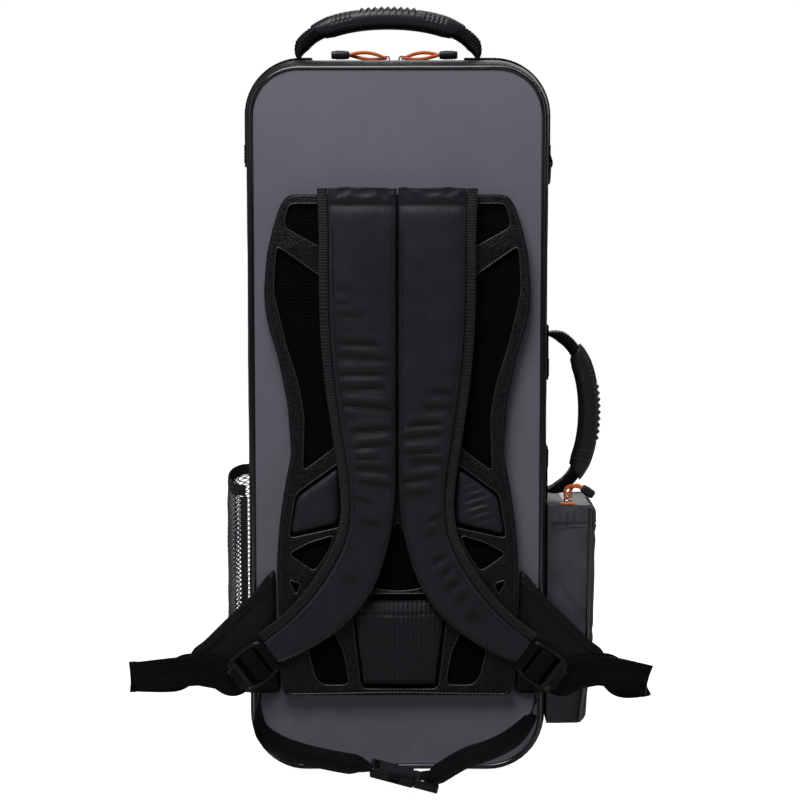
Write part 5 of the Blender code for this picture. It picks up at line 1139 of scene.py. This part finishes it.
def sewn_anchor(name, node, path, spacing, x, z):
    """A strip of anchor webbing on the case, with a box stitch and its cross from x and z up."""
    strip = sweep(even_path(path, spacing) if spacing else path, Y_AXIS, band(0.025, 0.0019, 0.0030, 0.10), 20)
    dress(strip, name.replace("sewing", "strip"), "base", "webbing", "webbing", node)
    a, b, c, d = [Vector((x, HANDLE_Y + dy, z + dz)) for dy, dz in
                  ((-0.009, 0.0), (0.009, 0.0), (0.009, 0.016), (-0.009, 0.016))]
    out = (b - a).cross(c - b).normalized()
    rows = [bead_row(row, 0.00045, 0.0030, out) for row in ([a, b], [b, c], [c, d], [d, a], [a, c], [b, d])]
    dress(join(*rows), name, "base", "thread", "webbing")


def make_handles():
    """Both handles and the webbing anchors that carry them, each sewn down with a box stitch."""
    top_foot = Vector((-0.0085, HANDLE_Y, HEIGHT + ANCHOR_TOP))
    make_handle("top", top_foot, X_AXIS, Z_AXIS, 0.164, 0.0443, 0.132, 0.0104)
    face_x, offset = WIDTH / 2 + ANCHOR_TOP, GAP + 0.001
    make_handle("side", Vector((face_x, HANDLE_Y, 0.3315)), Z_AXIS, X_AXIS, 0.146, 0.0470, 0.118, 0.0074)
    radius = TOP_CORNER + offset
    for name, side in (("left", -1), ("right", 1)):
        inner_x = side * -0.0085 + 0.082 - 0.0125
        centre = Vector((side * (WIDTH / 2 - TOP_CORNER), HANDLE_Y, HEIGHT - TOP_CORNER))
        path = [Vector((side * inner_x, HANDLE_Y, HEIGHT + offset))]
        path += arc(centre, X_AXIS * (side * radius), Z_AXIS * radius, 90, 0, 16)
        path.append(Vector((side * (WIDTH / 2 + offset), HANDLE_Y, HEIGHT - 0.097)))
        sewn_anchor("top_anchor_sewing_" + name, "top_anchor_" + name, path, 0.0008, side * face_x, 0.562)
    for name, low, sewn in (("lower", 0.2502, 0.2812), ("upper", 0.3628, 0.3658)):
        foot = Vector((WIDTH / 2 + offset, HANDLE_Y, low))
        path = line(foot, foot + Z_AXIS * 0.050, 62)
        sewn_anchor("side_anchor_sewing_" + name, "side_anchor_" + name, path, None, face_x, sewn)


# Pockets

def pocket_ring(z, reach, corner=0.007):
    """One level of the side pocket: from the case out, round the near corner, across and back."""
    near, far = Vector((SIDE_WALL, BACK_Y + 0.010, z)), Vector((SIDE_WALL, BACK_Y + 0.096, z))
    out = X_AXIS * (reach - corner)
    bends = [arc(spot + out, X_AXIS * corner, Y_AXIS * corner, start, start + 90, 8)
             for spot, start in ((near + Y_AXIS * corner, -90), (far - Y_AXIS * corner, 0))]
    ring = line(near, near + out, 12)[:-1] + bends[0] + line(bends[0][-1], bends[1][0], 24)[1:-1] + bends[1]
    return ring + line(far + out, far, 12)[1:] + line(far, near, 12)[1:-1]


def make_side_pocket():
    """The accessory pocket: limp nylon with a gathered band on top and slanting folds below it."""
    bottom, top = 0.046, 0.250
    middle = Vector((SIDE_WALL + 0.02, BACK_Y + 0.053, 0))
    rings = []
    for share in (i / 100 for i in range(101)):
        z = bottom + (top - bottom) * share
        knee = min(1.0, share / 0.35)
        reach = 0.037 + 0.0085 * (0.75 * knee + 0.25 * min(1.0, max(0.0, (share - 0.35) / 0.65)))
        tuck = 0.004 * (1 - min(1.0, share / 0.04)) ** 2 + 0.0045 * max(0.0, share - 0.96) ** 2 / 0.0016
        ring = pocket_ring(z, reach - tuck)
        for place in ring:
            if place.x < SIDE_WALL + 0.001:
                continue
            away = Vector((place.x - middle.x, place.y - middle.y, 0)).normalized()
            x = place.x - 0.16
            slack = 0.0018 * ripple(place, 0.024, 8.0) - 0.0020 * hill(z - 0.2 + 1.1 * x + 0.9 * place.y, 0.004)
            slack -= 0.0018 * hill(z - 0.16 + 1.3 * x, 0.005) + 0.0015 * hill(z - 0.10 - 0.8 * x, 0.005)
            if z > 0.233:
                slack = 0.0009 * sin(TURN * (place.x + place.y) / 0.0052 + 2 * ripple(place, 0.02))
            slack -= 0.0012 * hill(z - 0.2325, 0.0012)
            place += away * (slack - 0.0008) * min(1.0, (place.x - SIDE_WALL) / 0.004)
        rings.append(ring)
    lip = [place.lerp(Vector((middle.x, middle.y, place.z)), 0.04) - Z_AXIS * 0.0009 for place in rings[-1]]
    cloth = skin(rings + [lip])
    dress(cloth, "side_pocket_cloth", "base", "pocket", "grey_nylon", "side_pocket_body", fill=0.4)
    for row, z in (("upper", 0.2345), ("lower", 0.2300)):
        stitch = bead_row(pocket_ring(z, 0.0452)[1:66], 0.0004, 0.0032, Z_AXIS)
        dress(stitch, "side_pocket_stitch_" + row, "base", "thread", "grey_nylon")
    slot_x = SIDE_WALL + 0.0195

    def teeth(at, angle):
        a, b = rounded(angle, 0.0042, 0.0005, 4)
        tooth = 0.5 + 0.5 * sin(TURN * at / 0.0031)
        return a, b * (0.6 + 0.9 * tooth * hill(a, 0.0016)) if b > 0 else b

    path = line(Vector((slot_x, -0.0517, 0.24965)), Vector((slot_x, 0.0177, 0.24965)), 90)
    dress(sweep(path, X_AXIS, teeth, 24), "side_pocket_coil", "base", "coil", "zip_tape", "side_pocket_zip")
    welt = [Vector((SIDE_WALL + 0.0385 - 0.0085 * share, BACK_Y + 0.010 - PIPING - GAP, z)) for z, share in
            ((top - 0.001, 0.0), (bottom + (top - bottom) * 0.35, 0.25), (bottom + 0.002, 1.0))]
    cord = sweep(even_path(smooth_path(welt, 8), 0.003), Y_AXIS, plain(PIPING, PIPING), 12)
    dress(cord, "side_pocket_welt", "base", "vinyl", "piping", "side_pocket_piping", degrees=80)
    path = [Vector((slot_x, -0.0583 + 0.010 * i / 16, 0.2508 + 0.0006 * sin(pi * i / 16))) for i in range(17)]
    garage = sweep(path, X_AXIS, plain(0.0075, 0.0005, 5), 20)
    dress(garage, "zip_garage_cloth", "base", "orange", "orange_cord", "pocket_zip_garage")


def make_bottle_net():
    """The bottle pocket: a fine diamond net that bows out, under an elastic binding."""
    def net_spot(share, rise):
        bow = max(0.0, sin(pi * share)) ** 0.45
        reach = 0.0185 * min(1.0, 0.12 + rise / 0.20) - 0.0012 * (0.5 + ripple((share, 0, rise), 0.12)) * bow
        return Vector((-SIDE_WALL - 0.0014 - reach * bow, -0.058 + 0.056 * share,
                       0.085 + (0.185 - 0.012 * (1 - share)) * rise))

    net = skin([[net_spot(i / 14, j / 42) for i in range(15)] for j in range(43)], wrap=False, fill=False)
    pick(net)
    bpy.ops.object.mode_set(mode="EDIT")

    def ends(edge):
        return tuple(sorted(vert.index for vert in edge.verts))

    shape = bmesh.from_edit_mesh(net.data)
    squares = {ends(edge) for edge in shape.edges if not edge.is_boundary}
    bpy.ops.mesh.select_all(action="SELECT")
    bpy.ops.mesh.poke()
    shape = bmesh.from_edit_mesh(net.data)
    shape.verts.index_update()
    bpy.ops.mesh.select_mode(type="EDGE")
    for edge in shape.edges:
        edge.select = ends(edge) in squares
    bmesh.update_edit_mesh(net.data)
    bpy.ops.mesh.dissolve_edges(use_verts=False)
    bpy.ops.object.mode_set(mode="OBJECT")
    apply_step(net, "WIREFRAME", thickness=0.0018, use_even_offset=False, use_replace=True, use_boundary=True)
    dress(net, "bottle_net", "base", "net", "mesh", "mesh_pocket_net")
    path = line(Vector((-0.1406, -0.0592, 0.086)), Vector((-0.1406, -0.0592, 0.258)), 100)
    strip = sweep(path, X_AXIS, band(0.0066, 0.0011, 0.0036, 0.10, 5), 16)
    dress(strip, "bottle_net_side_binding", "base", "grosgrain", "webbing")
    path = even_path([net_spot(i / 40, 1.0) + Z_AXIS * 0.0057 for i in range(41)], 0.0008)
    strip = sweep(path, Z_AXIS, band(0.010, 0.0018, 0.0026, 0.12, 4), 18)
    dress(strip, "bottle_net_binding", "base", "grosgrain", "webbing", "mesh_pocket_binding")


# Zip sliders, pulls, ring and tabs

def make_slider(node, centre, along, side):
    """A cast zip slider: a waisted body with a rounded nose and a wire bail."""
    base = slotted_plate((0.0030, 0.0060, 0.0030), (0.0018, 0.0044, 0.0018), (), 0.0029, 0.0008)
    for vert in base.data.vertices:
        vert.co.y *= (1 - 0.22 * hill(vert.co.x + 0.0015, 0.0022)) * (1 - 0.12 * max(0.0, vert.co.x / 0.006))
    lay(base, centre + Z_AXIS * 0.0015, along, side, Z_AXIS)
    path = [centre + along * a + Z_AXIS * (0.0028 + b) for a, b in oval(0.0035, 0.0041, 2 / 0.7, 0, pi, 16)]
    bail = sweep(path, side, plain(0.0009, 0.0007, 2.4), 10)
    dress(join(base, bail), node + "_casting", node, "nickel", "zip_metal", node)


def make_pull(prefix, route, ahead, grip_length, eye_side):
    """A braided cord loop through the slider's eye, and the moulded grip on its far end."""
    side, spread, last = Y_AXIS, 0.0020 + 2 * GAP, len(route) - 1
    spreads = []
    for i in range(last + 1):
        apart = eye_side.lerp(side, max(0.0, (i / last - 0.3) / 0.7)).normalized() * spread
        if eye_side == side:
            swing = sin(pi * i / last)
            apart = apart * (1 - 0.8 * swing) + ahead.cross(side) * (0.0030 * swing)
        spreads.append(apart)
    one = [point + apart for point, apart in zip(route, spreads)]
    other = [point - apart for point, apart in zip(route, spreads)]
    back = (route[0] - route[1]).normalized() * 0.0003
    path = even_path(smooth_path(one[::-1] + [route[0] + back] + other, 5), 0.0006)
    normal = eye_side.cross((route[1] - route[0]).normalized())
    half = length_of(path) / 2
    body = prefix + "_pull"

    def braid(at, angle):
        radius = 0.0013 + 0.0004 * clamp((abs(at - half) - 0.005) / 0.006)
        return rounded(angle, radius, radius, 2)

    cord = sweep(path, [normal if abs(normal.dot(way)) < 0.9 else side for way in directions(path)], braid, 12)
    dress(cord, body + "_braid", body, "orange", "orange_cord", body + "_cord", degrees=70)

    def moulded(at, angle):
        share = at / grip_length
        size = min(1.0, 0.70 + 0.30 * sin(pi * clamp(share)) ** 0.4 * 1.05)
        a, b = rounded(angle, 0.00475 * size, 0.0042 * size, 2.6)
        return a, b * (1 + 0.09 * sin(TURN * at / 0.0023)) if 0.25 < share < 0.8 else b

    start = route[-1] + ahead * GAP
    grip = sweep([start + ahead * (grip_length * i / 40) for i in range(41)], side, moulded, 24)
    dress(grip, body + "_toggle", body, "rubber", "rubber", body + "_grip")


def make_zip_pulls():
    """Three sliders with their orange loops and black toggles."""
    for name, sign in (("left", -1), ("right", 1)):
        centre, lie = Vector((-0.003 + sign * 0.008, SEAM_Y, HEIGHT + GAP)), X_AXIS * sign
        make_slider(name + "_slider", centre, lie, Y_AXIS)
        eye = centre + Z_AXIS * 0.004825
        route = [eye + lie * (0.034 * i / 8) + Z_AXIS * (0.0030 * sin(pi / 16 * i)) for i in range(9)]
        make_pull(name, route, lie, 0.017, Y_AXIS)
    centre = Vector((SIDE_WALL + 0.0195, -0.042, 0.2503))
    make_slider("pocket_slider", centre, Y_AXIS, X_AXIS)
    eye = centre + Z_AXIS * 0.004825
    places = [eye + (X_AXIS * out + Z_AXIS * up) * 0.016 for out, up in
              ((0.0, 0.34), (0.13, 0.56), (0.46, 0.66), (0.80, 0.55))]
    tilt = radians(33.7)
    make_pull("pocket", smooth_path([eye] + places, 3), X_AXIS * cos(tilt) - Z_AXIS * sin(tilt), 0.013, X_AXIS)


def make_ring_and_tabs():
    """The D-ring in its doubled webbing tab, and the small tab low on the right."""
    y, top, half, wire, strap = 0.0125, 0.573, 0.0135, 0.0015, 0.0008
    ring_x = SIDE_WALL + 2 * strap + GAP + wire
    bar = Vector((ring_x, y, top - 0.014 + wire))
    turn = wire + GAP + strap
    path = [Vector((SIDE_WALL + strap, y, top))] + arc(bar, X_AXIS * turn, Z_AXIS * turn, -180, 0, 12)
    path += [bar + X_AXIS * turn + Z_AXIS * 0.003, Vector((ring_x + strap + GAP - wire, y, top))]
    strip = sweep(even_path(path, 0.0007), Y_AXIS, band(0.020, 0.0016, 0.0030, 0.10), 18)
    dress(strip, "upper_tab_webbing", "base", "webbing", "webbing", "upper_tab")
    loop = [bar - Y_AXIS * half] + arc(bar, Y_AXIS * half, Z_AXIS * 0.017, 0, -180, 24)[:-1]
    path = even_path(loop, 0.0012, loop=True)
    ring = sweep(path, X_AXIS, plain(wire, wire), 14, loop=True)
    dress(ring, "d_ring_wire", "d_ring", "steel", "black_metal", "upper_d_ring", degrees=80)
    path = line(Vector((0.129, -0.0721, 0.161)), Vector((0.136, -0.0721, 0.161)), 10)
    strip = sweep(path, Z_AXIS, plain(0.006, 0.00155, 4), 18)
    dress(strip, "lower_tab_webbing", "base", "webbing", "webbing", "lower_tab")


# The studio

def make_studio():
    """Pale floor, soft lamps, and a camera above the harness's middle that looks down 6 degrees."""
    scene = bpy.context.scene
    scene.view_settings.view_transform = "Standard"
    pick()
    bpy.ops.mesh.primitive_plane_add(size=1.0, location=(0, 0, -0.0002))
    floor = bpy.context.object
    floor.name = "studio_floor"
    floor.scale = (14, 14, 1)
    bpy.ops.object.transform_apply(location=True, rotation=False, scale=True)
    # Matt studio paper, which the camera sees as white while the shadow stays on it
    made = finish("studio_paper", 0.9, "#b4b4b4", "#b8b8b8", [(patch(0.5), 1, 0)], Specular_IOR_Level=0.0,
                  Emission_Color=(1, 1, 1, 1))
    tree = made.node_tree
    seen = add(tree, "LightPath").outputs["Is Camera Ray"]
    tree.links.new(weighed(tree, [(seen, 0.98)]), tree.nodes["Principled BSDF"].inputs["Emission Strength"])
    floor.data.materials.append(made)
    world = bpy.data.worlds.new("studio")
    scene.world = world
    world.use_nodes = True
    tree = world.node_tree
    backdrop = tree.nodes["Background"]
    rays = add(tree, "LightPath").outputs
    seen = add(tree, "Math", (rays["Is Camera Ray"], rays["Is Transmission Ray"]), operation="MAXIMUM")
    backdrop.inputs["Color"].default_value = (1, 1, 1, 1)
    tree.links.new(weighed(tree, [(seen.outputs[0], 0.93)], 0.07), backdrop.inputs["Strength"])
    for name, place, aim, size, power in (
        ("key", (-0.32, -0.86, 1.62), (0.0, -0.05, 0.55), 0.8, 19.5),
        ("fill_left", (-1.9, -0.4, 1.15), (0.0, 0.0, 0.50), 1.2, 3.5),
        ("fill_right", (1.9, -0.3, 1.10), (0.0, 0.0, 0.48), 1.2, 3.5),
        ("top", (0.1, 0.1, 1.9), (0.0, 0.0, 0.60), 0.6, 6),
        ("behind", (0.4, 1.9, 1.3), (0.0, 0.05, 0.40), 1.4, 16),
    ):
        lamp = bpy.data.lights.new(name, "AREA")
        lamp.shape = "SQUARE"
        lamp.size = size
        lamp.energy = power
        thing = bpy.data.objects.new(name, lamp)
        thing.location = place
        thing.rotation_euler = (Vector(aim) - Vector(place)).to_track_quat("-Z", "Y").to_euler()
        scene.collection.objects.link(thing)
    lens = bpy.data.cameras.new("camera")
    lens.sensor_width = 36
    lens.lens = 94.6
    lens.clip_end = 30
    camera = bpy.data.objects.new("camera", lens)
    camera.location = (0.0023, SEAM_Y - 2.0, 0.55)
    camera.rotation_euler = (radians(90 - 6.08), 0, 0)
    scene.collection.objects.link(camera)
    scene.camera = camera


make_studio()
make_case_halves()
make_seam_zips()
make_hinge()
make_foam()
make_back_pad()
make_hip_pads()
make_lumbar_cushion()
for side_name, side_sign, end_x in (("left", -1, 0.2437), ("right", 1, 0.2287)):
    make_shoulder_strap(side_name, side_sign)
    make_ladder_lock(side_name, side_sign)
    make_strap_webbing(side_name, side_sign, end_x)
    make_wing(side_name, side_sign)
make_waist_belts()
make_buckle()
make_handles()
make_side_pocket()
make_bottle_net()
make_zip_pulls()
make_ring_and_tabs()
